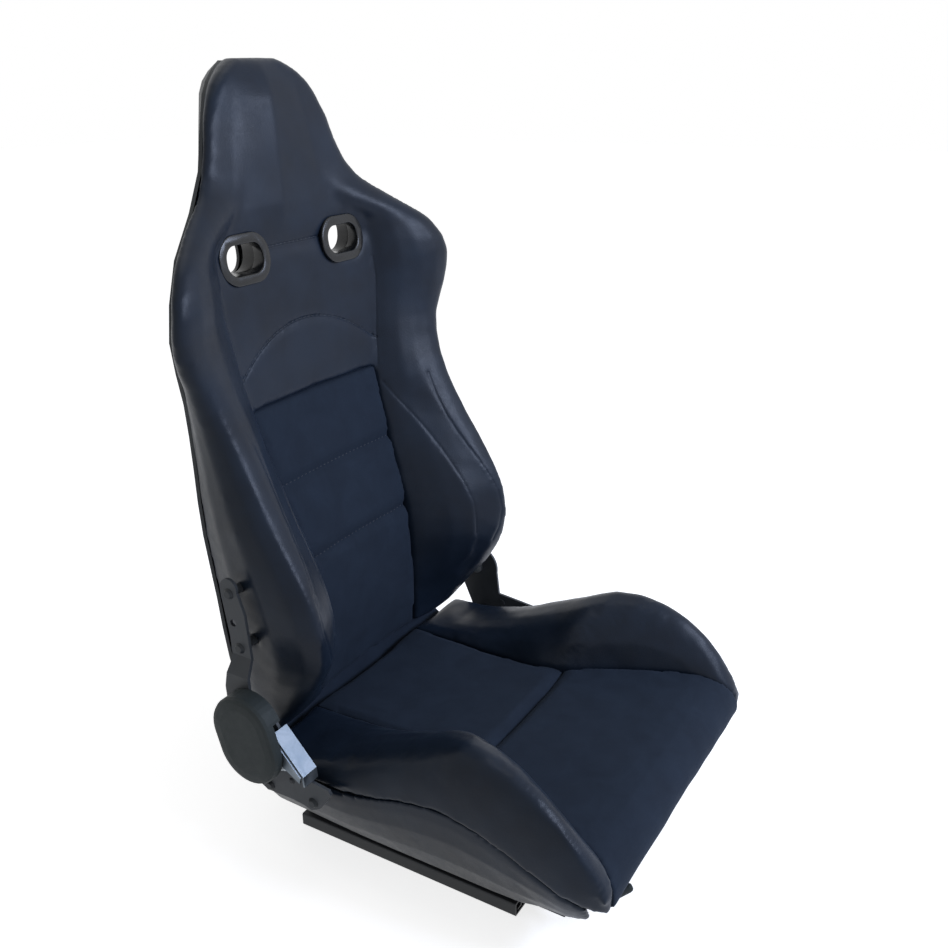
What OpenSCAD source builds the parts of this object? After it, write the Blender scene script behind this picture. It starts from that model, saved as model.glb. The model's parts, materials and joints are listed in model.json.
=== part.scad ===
// Reclining sport seat on sliding rails.
// Millimetres. +X is the occupant's left, -Y is forward, +Z is up.
// The origin is the middle of the floor bolt pattern, at floor level.

/* [Rails] */
// Length of each rail
rail_len = 320; // [280:5:360]
// Distance between the middles of the two rails
rail_spacing = 344; // [330:2:352]
// Width of the floor rail
floor_rail_w = 46; // [44:1:50]
// Height of the floor rail
floor_rail_h = 18; // [17:0.5:20]
// Sheet thickness of both rails
rail_wall = 2; // [1.6:0.1:2.4]
// Width of the lips that hold the upper rail down
rail_lip = 11; // [9:0.5:12]
// Height of the upper rail above the floor
upper_rail_top = 30; // [29:0.5:34]
// Width of the upper rail's hat section
hat_w = 20; // [18:0.5:21]
// Fore and aft travel each way
slide_travel = 90; // [60:5:95]
// Radius of a floor bolt hole
floor_hole_r = 4.25; // [3.25:0.25:5.25]
// Fore and aft distance between the floor bolt holes
floor_hole_spacing = 280; // [220:5:290]
// Distance from one latch notch to the next
notch_pitch = 12; // [10:1:16]
// Length of a nylon glide shoe
glide_len = 28; // [20:1:30]

/* [Slide latch] */
// Radius of the latch rod
latch_rod_r = 4; // [3:0.25:4.5]
// Height of the latch rod's axis
latch_rod_z = 14; // [13:0.5:15]
// Number of latch teeth
latch_teeth = 3; // [2:1:5]
// Radius of the moulded grip on the release handle
grip_r = 5.5; // [5:0.1:6.5]

/* [Seat base] */
// Sheet thickness of a side member
side_member_t = 2.5; // [2:0.1:3]
// Height of the side member's top flange
side_member_top = 86; // [80:1:90]
// Height of the raised rear part of the side member
side_member_ear = 120; // [117:1:121]
// Radius of the cross tubes
cross_tube_r = 11; // [9:0.5:13]
// Wall of every frame tube
tube_wall = 1.5; // [1:0.1:2]
// Width of a seat strap
strap_w = 44; // [30:1:48]
// Thickness of a strap
strap_t = 2; // [1.5:0.1:2]

/* [Cushion] */
// Half the width of the cushion at the side seams
cushion_half_w = 240; // [236:1:243]
// Height of the cushion bolsters' ridge at its highest
bolster_top = 228; // [215:1:232]
// Height of the middle of the cushion at the thigh seam
cushion_mid_z = 136; // [130:1:140]
// Height of the foam's underside
foam_under_z = 89; // [88.6:0.2:92]
// Front of the cushion
nose_y = -290; // [-296:1:-286]
// Height of the lower hem of the side skirts
skirt_hem_z = 35; // [32:1:40]
// Thickness of the side skirts
skirt_t = 6; // [4:0.5:7]

/* [Backrest] */
// Height of the lower edge of the backrest
back_bottom_z = 150; // [149:0.5:152]
// Height of the headrest's top
head_top_z = 943; // [930:1:955]
// Half the width of the backrest at the lower bolsters
back_half_w = 240; // [232:1:243]
// Half the width at the shoulder wings
wing_half_w = 266; // [256:1:272]
// Half the width of the head section
head_half_w = 112; // [104:1:120]
// How far the lower bolsters stand out in front of the lumbar panel
bolster_depth = 106; // [90:1:110]
// Lean of the frame plane, in mm backward for each mm up
frame_lean = 0.175; // [0.17:0.0025:0.18]
// Radius of the backrest frame tube
frame_tube_r = 10; // [8:0.5:10.5]
// Thickness of the rear panel
rear_panel_t = 5; // [4:0.5:7]
// Depth of the sewn channels
channel_depth = 6; // [3:0.5:8]

/* [Harness slots] */
// Distance from the middle to the middle of a harness slot
slot_x = 95; // [90:1:98]
// Height of the harness slots
slot_z = 719; // [712:1:726]
// Width of a slot's clear opening
slot_w = 62; // [54:1:66]
// Height of a slot's clear opening
slot_h = 36; // [30:1:40]
// Wall of the slot sleeve
slot_wall = 3.5; // [2.5:0.5:4.5]
// Width of the bezel's flange
bezel_w = 9; // [7:0.5:10]
// Thickness of the bezel's flange
bezel_t = 6; // [4:0.5:8]

/* [Recliner] */
// Recline axis, behind the floor pattern's middle
pivot_y = 158; // [155:0.5:160]
// Recline axis, above the floor
pivot_z = 186; // [184:0.5:188]
// Radius of the pivot stud
stud_r = 6; // [5:0.25:7]
// Running clearance on a stud, at the radius
run_clear = 0.05; // [0.02:0.01:0.09]
// Inner face of the lower bracket, from the middle of the seat
bracket_x = 256; // [255:0.5:258]
// Plate thickness of the brackets
plate_t = 4; // [3.5:0.1:4.2]
// Radius over the tips of the sector's teeth
sector_r = 33; // [31:0.5:34]
// Number of teeth on the sector
sector_teeth = 20; // [16:1:22]
// Tooth depth
tooth_depth = 2.4; // [1.8:0.1:2.6]
// Gap that the pawl stands off the sector
pawl_gap = 0.35; // [0.3:0.05:0.5]
// Lift of the recline lever, degrees
lever_lift = 15; // [10:1:15]
// Turns in a return spring
spring_turns = 5; // [3:1:5]
// Radius of the ends of the recliner cover
cover_r = 45; // [44:0.5:47]
// Depth from the bracket to the outside of the recliner cover
cover_out = 32; // [31.5:0.5:36]
// Wall of the recliner cover
cover_wall = 2.5; // [2:0.1:3]

/* [Hidden] */
$fn = 48;
eps = 0.01;
fit = 0.02;      // gap of a seated shank in its hole
seat_gap = 0.3;  // gap between soft pieces and what they lie on
side_gap = 0.6;  // gap between two upholstered pieces at their seam
side_member_x = rail_spacing / 2 + 22.5;  // outer face of a side member
upright_x = back_half_w - 72;    // half the distance between the frame uprights
neck_tube_r = 7;                 // radius of the two tubes up to the headrest
rail_x = rail_spacing / 2;
rail_end = rail_len / 2;

// ---- curves through a few stations ----
function seg(t, x, i = 0) = i >= len(t) - 2 || x < t[i + 1][0] ? i : seg(t, x, i + 1);
function grad(t, i) =
    let (a = max(i - 1, 0), b = min(i + 1, len(t) - 1)) (t[b][1] - t[a][1]) / (t[b][0] - t[a][0]);
function curve(t, x) =
    let (i = seg(t, x), h = t[i + 1][0] - t[i][0], u = min(1, max(0, (x - t[i][0]) / h)))
    t[i][1] * (1 + 2 * u) * (1 - u) * (1 - u) + grad(t, i) * h * u * (1 - u) * (1 - u)
    + t[i + 1][1] * u * u * (3 - 2 * u) + grad(t, i + 1) * h * u * u * (u - 1);
function bezier2(a, b, c, u) = a * (1 - u) * (1 - u) + 2 * b * u * (1 - u) + c * u * u;
function steps(a, b, n) = [for (i = [0:n]) a + (b - a) * i / n];

// ---- closed slab between a front grid and a back grid of points ----
// rows run up and columns run to the right, seen from outside the front grid
module slab(front, back) {
    n = len(front);
    m = len(front[0]);
    pts = concat([for (r = front) each r], [for (r = back) each r]);
    b = n * m;
    grid = [for (i = [0:n - 2], j = [0:m - 2]) each [
        [i * m + j, (i + 1) * m + j, (i + 1) * m + j + 1],
        [i * m + j, (i + 1) * m + j + 1, i * m + j + 1],
        [b + i * m + j, b + (i + 1) * m + j + 1, b + (i + 1) * m + j],
        [b + i * m + j, b + i * m + j + 1, b + (i + 1) * m + j + 1]]];
    ends = [for (j = [0:m - 2]) each [
        [j, j + 1, b + j + 1], [j, b + j + 1, b + j],
        [b - m + j, 2 * b - m + j, 2 * b - m + j + 1], [b - m + j, 2 * b - m + j + 1, b - m + j + 1]]];
    sides = [for (i = [0:n - 2]) each [
        [i * m, b + i * m, b + (i + 1) * m], [i * m, b + (i + 1) * m, (i + 1) * m],
        [i * m + m - 1, (i + 1) * m + m - 1, b + (i + 1) * m + m - 1],
        [i * m + m - 1, b + (i + 1) * m + m - 1, b + i * m + m - 1]]];
    polyhedron(points = pts, faces = concat(grid, ends, sides), convexity = 6);
}

// ---- placing helpers ----
module on_right() mirror([1, 0, 0]) children();
// a plate drawn in Y and Z, from x0 and t thick
module plate_yz(x0, t) translate([x0, 0, 0]) rotate([90, 0, 90]) linear_extrude(t) children();
module rod_x(x0, x1, y, z, r) translate([x0, y, z]) rotate([0, 90, 0]) cylinder(h = x1 - x0, r = r);
module rod_y(y0, y1, x, z, r) translate([x, y0, z]) rotate([-90, 0, 0]) cylinder(h = y1 - y0, r = r);
// a hexagon bolt head or nut with its axis along X
module hex_x(x0, t, y, z, r) translate([x0, y, z]) rotate([0, 90, 0]) cylinder(h = t, r = r, $fn = 6);
// a round bar through points, with ball corners that stand out by a bead
module bar(points, r, bead = 0) {
    for (i = [0:len(points) - 2]) {
        d = points[i + 1] - points[i];
        translate(points[i]) rotate([0, acos(d[2] / norm(d)), atan2(d[1], d[0])])
            cylinder(h = norm(d), r = r);
    }
    if (len(points) > 2) for (i = [1:len(points) - 2]) translate(points[i]) sphere(r = r + bead);
}
// the same points with each corner cut off at a length, so that a bar turns it in two easier bends
function eased(points, cut) = let(last = len(points) - 1, step = function(i, j) (points[j] - points[i])
    * cut / norm(points[j] - points[i])) [for (i = [0:last]) each i == 0 || i == last ? [points[i]]
    : [points[i] + step(i, i - 1), points[i] + step(i, i + 1)]];
module rounded2d(w, h, r) {
    square([w, h - 2 * r], center = true);
    square([w - 2 * r, h], center = true);
    for (x = [-1, 1], z = [-1, 1]) translate([x * (w / 2 - r), z * (h / 2 - r)]) circle(r = r);
}

// ================= rails =================
flange_z = 6;              // underside of the upper rail's flange
flange_w = floor_rail_w - 2 * rail_wall - 6;
notch_len = 6;
notch_w = 5;
lip_edge = floor_rail_w / 2 - rail_lip;  // half the mouth between the lips
notch_x = lip_edge + 4.5;                // middle of a notch, from the rail's middle
notch_count = floor((rail_len - 40) / notch_pitch);

module floor_rail_section() {
    difference() {
        translate([0, floor_rail_h / 2]) rounded2d(floor_rail_w, floor_rail_h, rail_wall);
        translate([0, floor_rail_h / 2]) rounded2d(floor_rail_w - 2 * rail_wall,
            floor_rail_h - 2 * rail_wall, 1);
        translate([-lip_edge, floor_rail_h / 2]) square([2 * lip_edge, floor_rail_h]);
    }
}
module floor_rail() {
    difference() {
        translate([rail_x, rail_end, 0]) rotate([90, 0, 0]) linear_extrude(rail_len) floor_rail_section();
        for (y = [-1, 1]) translate([rail_x, y * floor_hole_spacing / 2, -1])
            cylinder(h = rail_wall + 2, r = floor_hole_r);
        for (i = [0:notch_count]) translate([rail_x - notch_x - notch_w / 2,
            (i - notch_count / 2) * notch_pitch - notch_len / 2, floor_rail_h - rail_wall - 1])
            cube([notch_w, notch_len, rail_wall + 2]);
    }
}
module lower_rail_left() color("#1b1c1e") floor_rail();
module lower_rail_right() color("#1b1c1e") on_right() floor_rail();

glide_y = rail_end - 10 - glide_len;    // inner end of a glide
stop_r = 4;
stop_y = glide_y - slide_travel - stop_r - seat_gap;
module rail_stops() color("#8d9094")
    for (x = [-rail_x, rail_x], y = [-1, 1]) translate([x, y * stop_y, rail_wall])
        cylinder(h = 3, r = stop_r);

// ================= upper rails =================
module hat_section() {
    difference() {
        translate([-hat_w / 2, flange_z]) square([hat_w, upper_rail_top - flange_z]);
        translate([-hat_w / 2 + rail_wall, flange_z - 1]) square([hat_w - 2 * rail_wall,
            upper_rail_top - flange_z + 1 - rail_wall]);
    }
    for (s = [-1, 1]) translate([s > 0 ? hat_w / 2 - rail_wall : -flange_w / 2, flange_z])
        square([flange_w / 2 - hat_w / 2 + rail_wall, rail_wall]);
}
frame_bolt_y = [-rail_end + 40, rail_end - 40];
frame_bolt_r = 4;
latch_half = (latch_teeth - 1) * notch_pitch / 2 + notch_len / 2;   // half the latch plate's length
module upper_rail() {
    difference() {
        translate([rail_x, rail_end, 0]) rotate([90, 0, 0]) linear_extrude(rail_len) hat_section();
        for (y = frame_bolt_y) translate([rail_x, y, upper_rail_top - rail_wall - 1])
            cylinder(h = rail_wall + 2, r = frame_bolt_r + fit);
    }
}
module upper_rail_left() color("#202124") upper_rail();
module upper_rail_right() color("#202124") on_right() difference() {
    upper_rail();
    translate([rail_x - hat_w / 2 - 1, -latch_half - 2, floor_rail_h - 1])
        cube([rail_wall + 2, 2 * latch_half + 4, upper_rail_top - rail_wall - floor_rail_h]);
}
glide_gap = 0.1;    // running gap of the nylon shoes in the floor rail
module glide_section() {
    difference() {
        translate([0, floor_rail_h / 2]) rounded2d(floor_rail_w - 2 * (rail_wall + glide_gap),
            floor_rail_h - 2 * (rail_wall + glide_gap), 1.5);
        translate([-hat_w / 2 + rail_wall, flange_z]) square([hat_w - 2 * rail_wall, floor_rail_h]);
        hat_section();
    }
}
module rail_glides() color("#d9d6cc")
    for (s = [-1, 1], y = [glide_y, -glide_y - glide_len])
        translate([s * rail_x, y + glide_len, 0]) rotate([90, 0, 0]) linear_extrude(glide_len)
            glide_section();

// ================= slide latch =================
rod_front = -rail_end - 22;
rod_rear = latch_half + 34;
bearing_len = 10;
handle_knee = [-rail_x + 2, rod_front - 62, 34];
handle_tip = [-rail_x + 38, rod_front - 91, 46];
bend_swell = 0.4;
rod_cut = 12;   // how much the rod swells at its bends
grip_start = 0.2;   // share of the last leg that the grip leaves bare
module latch_bearings() color("#e4e1d6")
    for (y = [-rail_end + 4, rod_rear - bearing_len - 2]) difference() {
        translate([-rail_x - hat_w / 2 + rail_wall, y, flange_z + rail_wall])
            cube([hat_w - 2 * rail_wall, bearing_len, 2 * (latch_rod_z - flange_z - rail_wall)]);
        rod_y(y - 1, y + bearing_len + 1, -rail_x, latch_rod_z, latch_rod_r + run_clear);
    }
module release_lever() color("#1a1a1c") bar(eased([[-rail_x, rod_rear, latch_rod_z],
    [-rail_x, rod_front, latch_rod_z], handle_knee, handle_tip], rod_cut), latch_rod_r, bend_swell);
// points dir along +Z of its children
module along(from, dir) translate(from) rotate([0, acos(dir[2] / norm(dir)), atan2(dir[1], dir[0])])
    children();
module release_grip() color("#3a3c3e") {
    leg = handle_tip - handle_knee;
    bare = norm(leg) * grip_start;
    len = norm(leg) * (1 - grip_start) + 2;
    along(handle_knee + leg * grip_start, leg) difference() {
        rotate_extrude() polygon([[0, 0], [grip_r, 0], [grip_r, len], [grip_r * 0.9, len + grip_r * 0.5],
            [grip_r * 0.6, len + grip_r * 0.8], [0, len + grip_r * 0.9]]);
        translate([0, 0, -1]) cylinder(h = norm(leg) - bare + 1, r = latch_rod_r + fit);
    }
}
tooth_drop = latch_rod_z + latch_rod_r + 2;    // top of the latch plate
tooth_tip_z = floor_rail_h + seat_gap;
module latch_plate() color("#9a9ea3") difference() {
    union() {
        translate([-rail_x - 3, -latch_half, latch_rod_z + 1])
            cube([6, 2 * latch_half, tooth_drop - latch_rod_z - 1]);
        translate([-rail_x, -latch_half, tooth_drop - 2])
            cube([notch_x + notch_w / 2 - 0.6, 2 * latch_half, 2]);
        for (i = [0:latch_teeth - 1]) translate([-rail_x + notch_x - notch_w / 2 + 0.6,
            (i - (latch_teeth - 1) / 2) * notch_pitch - notch_len / 2 + 0.6, tooth_tip_z])
            cube([notch_w - 1.2, notch_len - 1.2, tooth_drop - tooth_tip_z]);
    }
    rod_y(-latch_half - 1, latch_half + 1, -rail_x, latch_rod_z, latch_rod_r + fit);
}

// ================= seat frame =================
member_flange = 15;
member_front = -235;
member_rear = pivot_y + 29;
ear_y = 40;            // where the side member starts to rise
bolt_line_z = 112;   // height of the bolts that hold the lower bracket
bracket_bolt_y = [81, 148];
bracket_bolt_r = 4;
spacer_r = 6;
module side_member() difference() {
    union() {
        plate_yz(side_member_x - side_member_t, side_member_t) difference() {
            polygon([[member_front + 12, upper_rail_top], [member_rear - 8, upper_rail_top],
                [member_rear, upper_rail_top + 10], [member_rear, side_member_ear - 10],
                [member_rear - 10, side_member_ear], [ear_y + 45, side_member_ear],
                [ear_y, side_member_top], [member_front, side_member_top],
                [member_front, upper_rail_top + 22]]);
            for (y = [member_front + 60:58:ear_y - 10])
                translate([y, (upper_rail_top + side_member_top) / 2 + 2]) circle(r = 15);
        }
        translate([side_member_x - member_flange - 2, member_front, side_member_top - side_member_t])
            cube([member_flange + 2 - eps, ear_y - member_front, side_member_t]);
        translate([rail_x - hat_w / 2, -rail_end, upper_rail_top])
            cube([side_member_x - rail_x + hat_w / 2 - eps, rail_len, side_member_t]);
    }
    for (y = frame_bolt_y) translate([rail_x, y, upper_rail_top - 1])
        cylinder(h = side_member_t + 2, r = frame_bolt_r + fit);
    for (y = bracket_bolt_y) rod_x(side_member_x - 9, side_member_x + 3, y, bolt_line_z,
        bracket_bolt_r + fit);
}
module side_member_left() color("#26282b") side_member();
module side_member_right() color("#26282b") on_right() side_member();
tube_span = side_member_x - side_member_t;
tube_z = upper_rail_top + side_member_t + cross_tube_r + 16;
module cross_tube(y) difference() {
    rod_x(-tube_span, tube_span, y, tube_z, cross_tube_r);
    rod_x(-tube_span - 1, tube_span + 1, y, tube_z, cross_tube_r - tube_wall);
}
module front_cross_tube() color("#26282b") cross_tube(member_front + 25);
module rear_cross_tube() color("#26282b") cross_tube(member_rear - 24);
module frame_bolts() color("#b9bcc0")
    for (x = [-rail_x, rail_x], y = frame_bolt_y) {
        translate([x, y, upper_rail_top + side_member_t]) cylinder(h = 5, r = 6.5, $fn = 6);
        translate([x, y, upper_rail_top - rail_wall - 6]) cylinder(h = 8 + side_member_t, r = frame_bolt_r);
        translate([x, y, upper_rail_top - rail_wall - 6]) difference() {
            cylinder(h = 6, r = 6.5, $fn = 6);
            translate([0, 0, -1]) cylinder(h = 8, r = frame_bolt_r - eps);
        }
    }
strap_y = [-195, -130, -65, 0];
strap_half = side_member_x - member_flange - 2 - seat_gap;
module seat_webbing() color("#23252a")
    for (y = strap_y) translate([-strap_half, y - strap_w / 2, side_member_top - strap_t])
        cube([2 * strap_half, strap_w, strap_t]);
clip_t = 1.5;
module webbing_clips() color("#a3a7ab")
    for (s = [-1, 1], y = strap_y) translate([s > 0 ? strap_half - 16 : -strap_half - 12, y - strap_w / 2,
        side_member_top])
        cube([28, strap_w, clip_t]);

// ================= cushion =================
rear_y = pivot_y + 30;        // rear end of the cushion
thigh_seam_y = -66;
CUSHION_MID = [[nose_y, 98], [-284, 116], [-262, 132], [-225, 140], [-150, 139],
    [thigh_seam_y, cushion_mid_z],
    [30, cushion_mid_z - 6], [110, cushion_mid_z - 5], [rear_y, cushion_mid_z - 5]];
CUSHION_SEAM_X = [[nose_y, 214], [-270, 203], [-225, 190], [-160, 165], [-107, 140], [thigh_seam_y, 119],
    [30, 116], [rear_y, 120]];
RIDGE_Z = [[nose_y, 100], [-277, 128], [-255, 160], [-228, 188], [-190, 213], [-150, bolster_top],
    [-105, bolster_top + 1], [-70, 217], [-34, 199], [0, 184], [30, 170], [70, 154], [110, 142],
    [140, 135.5], [rear_y, 132]];
SIDE_SEAM_Z = [[nose_y, 86], [-262, 94], [-226, 106], [-190, 126], [-140, 145], [-90, 153], [-40, 148],
    [20, 131], [60, 124], [rear_y, 124]];
SIDE_SEAM_X = [[nose_y, 219], [-270, 230], [-235, 237], [-180, cushion_half_w], [rear_y, cushion_half_w]];
FOAM_UNDER = [[nose_y, 84], [-270, foam_under_z], [ear_y - 70, foam_under_z],
    [ear_y - 8, side_member_ear - 6],
    [ear_y + 20, side_member_ear + 1], [rear_y, side_member_ear + 1]];
function mid_z(y) = curve(CUSHION_MID, y);
function seam_x(y) = curve(CUSHION_SEAM_X, y);
function side_z(y) = curve(SIDE_SEAM_Z, y);
function side_x(y) = curve(SIDE_SEAM_X, y);
function ridge_z(y) = max(curve(RIDGE_Z, y), side_z(y) + 8);
function seam_z(y) = mid_z(y) + 4;
// half-width of the thigh pad where it wraps down over the nose
function pad_top(x, y) = mid_z(y) + (seam_z(y) - mid_z(y)) * pow(abs(x) / seam_x(y), 4);
function groove(y, at, w) = channel_depth * exp(-pow((y - at) / w, 2));

thigh_rows = [-255, -235, -205, -170, -135, -100, -78];
cushion_rows = steps(thigh_seam_y + 14, rear_y, 9);
module cushion_pad() color("#1d2026") {
    rows = concat([thigh_seam_y + seat_gap, thigh_seam_y + 5], cushion_rows);
    cols = steps(-1, 1, 8);
    slab([for (y = rows) [for (c = cols) let (x = c * (seam_x(y) - side_gap), edge = 1 - pow(abs(c), 12))
            [x, y, pad_top(x, y) - groove(y, thigh_seam_y, 5) - 3 * (1 - edge)]]],
        [for (y = rows) [for (c = cols) [c * (seam_x(y) - side_gap), y, foam_under_z]]]);
}
// the nose turns down and back under the thigh pad
NOSE = [[nose_y + 22, 84], [nose_y + 8, 83], [nose_y + 1, 90], [nose_y, 98], [-287.5, 108], [-281, 119],
    [-270, 128]];
module thigh_pad() color("#1d2026") {
    top = concat([for (p = NOSE) p], [for (y = concat(thigh_rows,
        [thigh_seam_y - 6, thigh_seam_y - seat_gap]))
        [y, mid_z(y)]]);
    under = concat([for (i = [0:len(NOSE) - 1]) [nose_y + 24 + i * 2, 86.5 + 0.4 * i]],
        [for (i = [len(NOSE):len(top) - 1]) [max(top[i][0], nose_y + 26 + 2 * len(NOSE)), foam_under_z]]);
    cols = steps(-1, 1, 10);
    slab([for (p = top) let (w = seam_x(max(p[0], nose_y)) - side_gap) [for (c = cols)
            [c * w, p[0], p[1] + 4 * pow(abs(c), 4) * min(1, max(0, (p[1] - 100) / 30))
                - groove(p[0], thigh_seam_y, 5)]]],
        [for (p = under) let (w = seam_x(p[0]) - side_gap - (p[0] < -250 ? 3 : 0))
            [for (c = cols) [c * w, p[0], p[1]]]]);
}
HEM_Z = [[-268, 74], [-243, 57], [-203, skirt_hem_z + 11], [-172, skirt_hem_z + 2], [-120, skirt_hem_z],
    [47, skirt_hem_z], [121, skirt_hem_z + 3], [rear_y, skirt_hem_z + 6]];
HEM_X = [[-268, side_member_x + 29.5], [-243, side_member_x + 22.5], [-203, side_member_x + 14.5],
    [-150, side_member_x + 11.5], [rear_y, side_member_x + 11.5]];
skirt_gap = 2.6;              // between the skirt and the foam behind it
skirt_drop = 1.8;             // from the side seam down to the skirt's top edge
// outside of the skirt at a share u of the way up from its hem
function skirt_at(y, u) = let (a = [curve(HEM_X, y), curve(HEM_Z, y)],
    b = [side_x(y), side_z(y) - skirt_drop])
    bezier2(a, [b[0] - 3, (a[1] + b[1]) / 2], b, u);
// inside of the skirt at a height z
function skirt_in_x(y, z) =
    skirt_at(y, min(1, (z - curve(HEM_Z, y)) / (side_z(y) - skirt_drop - curve(HEM_Z,
        y))))[0] - skirt_t - seat_gap;
module cushion_bolster() {
    rows = concat([nose_y + 3, -283, -276, -270, -263], thigh_rows, [thigh_seam_y], cushion_rows);
    inner = steps(0, 1, 4);
    outer = steps(0.2, 1, 4);
    function ridge(y) = [(seam_x(y) + side_x(y)) / 2 + 14, ridge_z(y)];
    function low(y) = min(lookup(y, FOAM_UNDER), side_z(y) - 3);
    slab([for (y = rows) let (s = [seam_x(y), seam_z(y)], e = [side_x(y), side_z(y)], r = ridge(y))
            concat([for (u = inner) let (q = bezier2(s, [s[0] + (r[0] - s[0]) * 0.3, r[1]], r, u))
                [q[0], y, q[1]]],
                [for (u = outer) let (q = bezier2(r, [e[0] + 1, r[1]], e, u)) [q[0], y, q[1]]])],
        [for (y = rows) let (a = seam_x(y), b = skirt_in_x(y, low(y)) - skirt_gap)
            concat([for (u = [0, 0.2, 0.4, 0.6, 0.8]) [a + (b - a) * u, y, low(y)]],
                [for (k = [0:4]) let (z = low(y) + (side_z(y) - 1.4 - low(y)) * k / 4)
                    [skirt_in_x(y, z) - skirt_gap, y, z]])]);
}
module cushion_bolster_left() color("#14171c") cushion_bolster();
module cushion_bolster_right() color("#14171c") on_right() cushion_bolster();
module side_skirt() difference() {
    ys = concat([nose_y + 26], thigh_rows, [thigh_seam_y], cushion_rows);
    rows = [0, 0.3, 0.62, 0.86, 1];
    slab([for (u = rows) [for (y = ys) let (q = skirt_at(y, u)) [q[0], y, q[1]]]],
        [for (u = rows) [for (y = ys) let (q = skirt_at(y, u)) [q[0] - skirt_t, y, q[1] + 0.5 * (1 - u)]]]);
    for (y = bracket_bolt_y) rod_x(side_member_x, bracket_x, y, bolt_line_z, spacer_r + seat_gap);
}
module side_skirt_left() color("#171a1f") side_skirt();
module side_skirt_right() color("#171a1f") on_right() side_skirt();

// ================= recliner brackets =================
arm_x = bracket_x + plate_t + 0.5;       // inner face of the arm and pawl layer
spring_x = arm_x + plate_t + 1.5;
spring_w = 7;
lever_x = spring_x + spring_w + 2;       // inner face of the lever plate
lever_t = 2.5;
stud_end = lever_x + lever_t + 5;
axis = [pivot_y, pivot_z];
pawl_at = [-38, -30];                    // pawl pin, from the recline axis
pawl_pin_r = 4;
rivet_at = [112, 132];
rivet_r = 3;
module lower_bracket(pinned) difference() {
    plate_yz(bracket_x, plate_t) difference() {
        union() {
            translate(axis) circle(r = 36);
            polygon([[56, 139], [53, 133], [71, 107], [84, 100], [96, 103], [112, 105], [153, 104],
                [164, 110],
                [pivot_y + 34, pivot_z - 12], [pivot_y - 20, pivot_z + 30], [pivot_y - 36, pivot_z - 6],
                [118, 146], [90, 143]]);
        }
    }
    rod_x(bracket_x - 1, arm_x, pivot_y, pivot_z, stud_r + fit);
    for (y = bracket_bolt_y) rod_x(bracket_x - 1, arm_x, y, bolt_line_z, bracket_bolt_r + fit);
    rod_x(bracket_x - 1, arm_x, rivet_at[0], rivet_at[1], rivet_r + fit);
    if (pinned) rod_x(bracket_x - 1, arm_x, pivot_y + pawl_at[0], pivot_z + pawl_at[1], pawl_pin_r + fit);
}
module lower_bracket_left() color("#2a2c30") lower_bracket(false);
module lower_bracket_right() color("#2a2c30") on_right() lower_bracket(true);
module both_sides() {
    children();
    on_right() children();
}
module bracket_spacers() color("#4a4d52") both_sides() for (y = bracket_bolt_y) difference() {
    rod_x(side_member_x, bracket_x, y, bolt_line_z, spacer_r);
    rod_x(side_member_x - 1, bracket_x + 1, y, bolt_line_z, bracket_bolt_r + fit);
}
module bracket_bolt(y) {
    rod_x(side_member_x - side_member_t - 6, bracket_x + plate_t, y, bolt_line_z, bracket_bolt_r);
    rod_x(bracket_x + plate_t, bracket_x + plate_t + 0.4, y, bolt_line_z, 7);
    hex_x(side_member_x - side_member_t - 5, 5, y, bolt_line_z, 6.5);
    translate([bracket_x + plate_t + 0.4, y, bolt_line_z]) rotate([0, 90, 0])
        cylinder(h = 3.2, r1 = 6.8, r2 = 4.5);
}
// the rivet that stiffens the bracket in front of the hinge
module bracket_rivet() {
    rod_x(bracket_x - 1.5, bracket_x, rivet_at[0], rivet_at[1], rivet_r + 2);
    rod_x(bracket_x, bracket_x + plate_t, rivet_at[0], rivet_at[1], rivet_r);
    translate([bracket_x + plate_t, rivet_at[0], rivet_at[1]]) rotate([0, 90, 0])
        cylinder(h = 1.8, r1 = rivet_r + 1.5, r2 = rivet_r - 0.5);
}
module bracket_bolts() color("#8f9397") both_sides() {
    for (y = bracket_bolt_y) bracket_bolt(y);
    bracket_rivet();
}
module pivot_stud_right() color("#9ba0a6") on_right() {
    rod_x(bracket_x - 4, bracket_x, pivot_y, pivot_z, 10);
    difference() {
        rod_x(bracket_x, stud_end, pivot_y, pivot_z, stud_r);
        translate([spring_x - 0.5, pivot_y - 0.7, pivot_z - stud_r - 1])
            cube([spring_w + 1, 1.4, stud_r + 3]);
    }
    hex_x(lever_x + lever_t + 0.6, 4, pivot_y, pivot_z, 10);
}
// the left side is a plain hinge: a short stud with its nut
module pivot_stud_left() color("#9ba0a6") {
    rod_x(bracket_x - 4, bracket_x, pivot_y, pivot_z, 10);
    rod_x(bracket_x, arm_x + plate_t + hinge_nut_t + 1.5, pivot_y, pivot_z, stud_r);
    hex_x(arm_x + plate_t + 0.6, hinge_nut_t, pivot_y, pivot_z, 10);
}
module pawl_pin() color("#9ba0a6") on_right() {
    rod_x(bracket_x - 2, arm_x + plate_t + 0.3, pivot_y + pawl_at[0], pivot_z + pawl_at[1], pawl_pin_r);
    rod_x(arm_x + plate_t + 0.3, arm_x + plate_t + 2.3, pivot_y + pawl_at[0], pivot_z + pawl_at[1],
        pawl_pin_r + 2);
}

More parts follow.
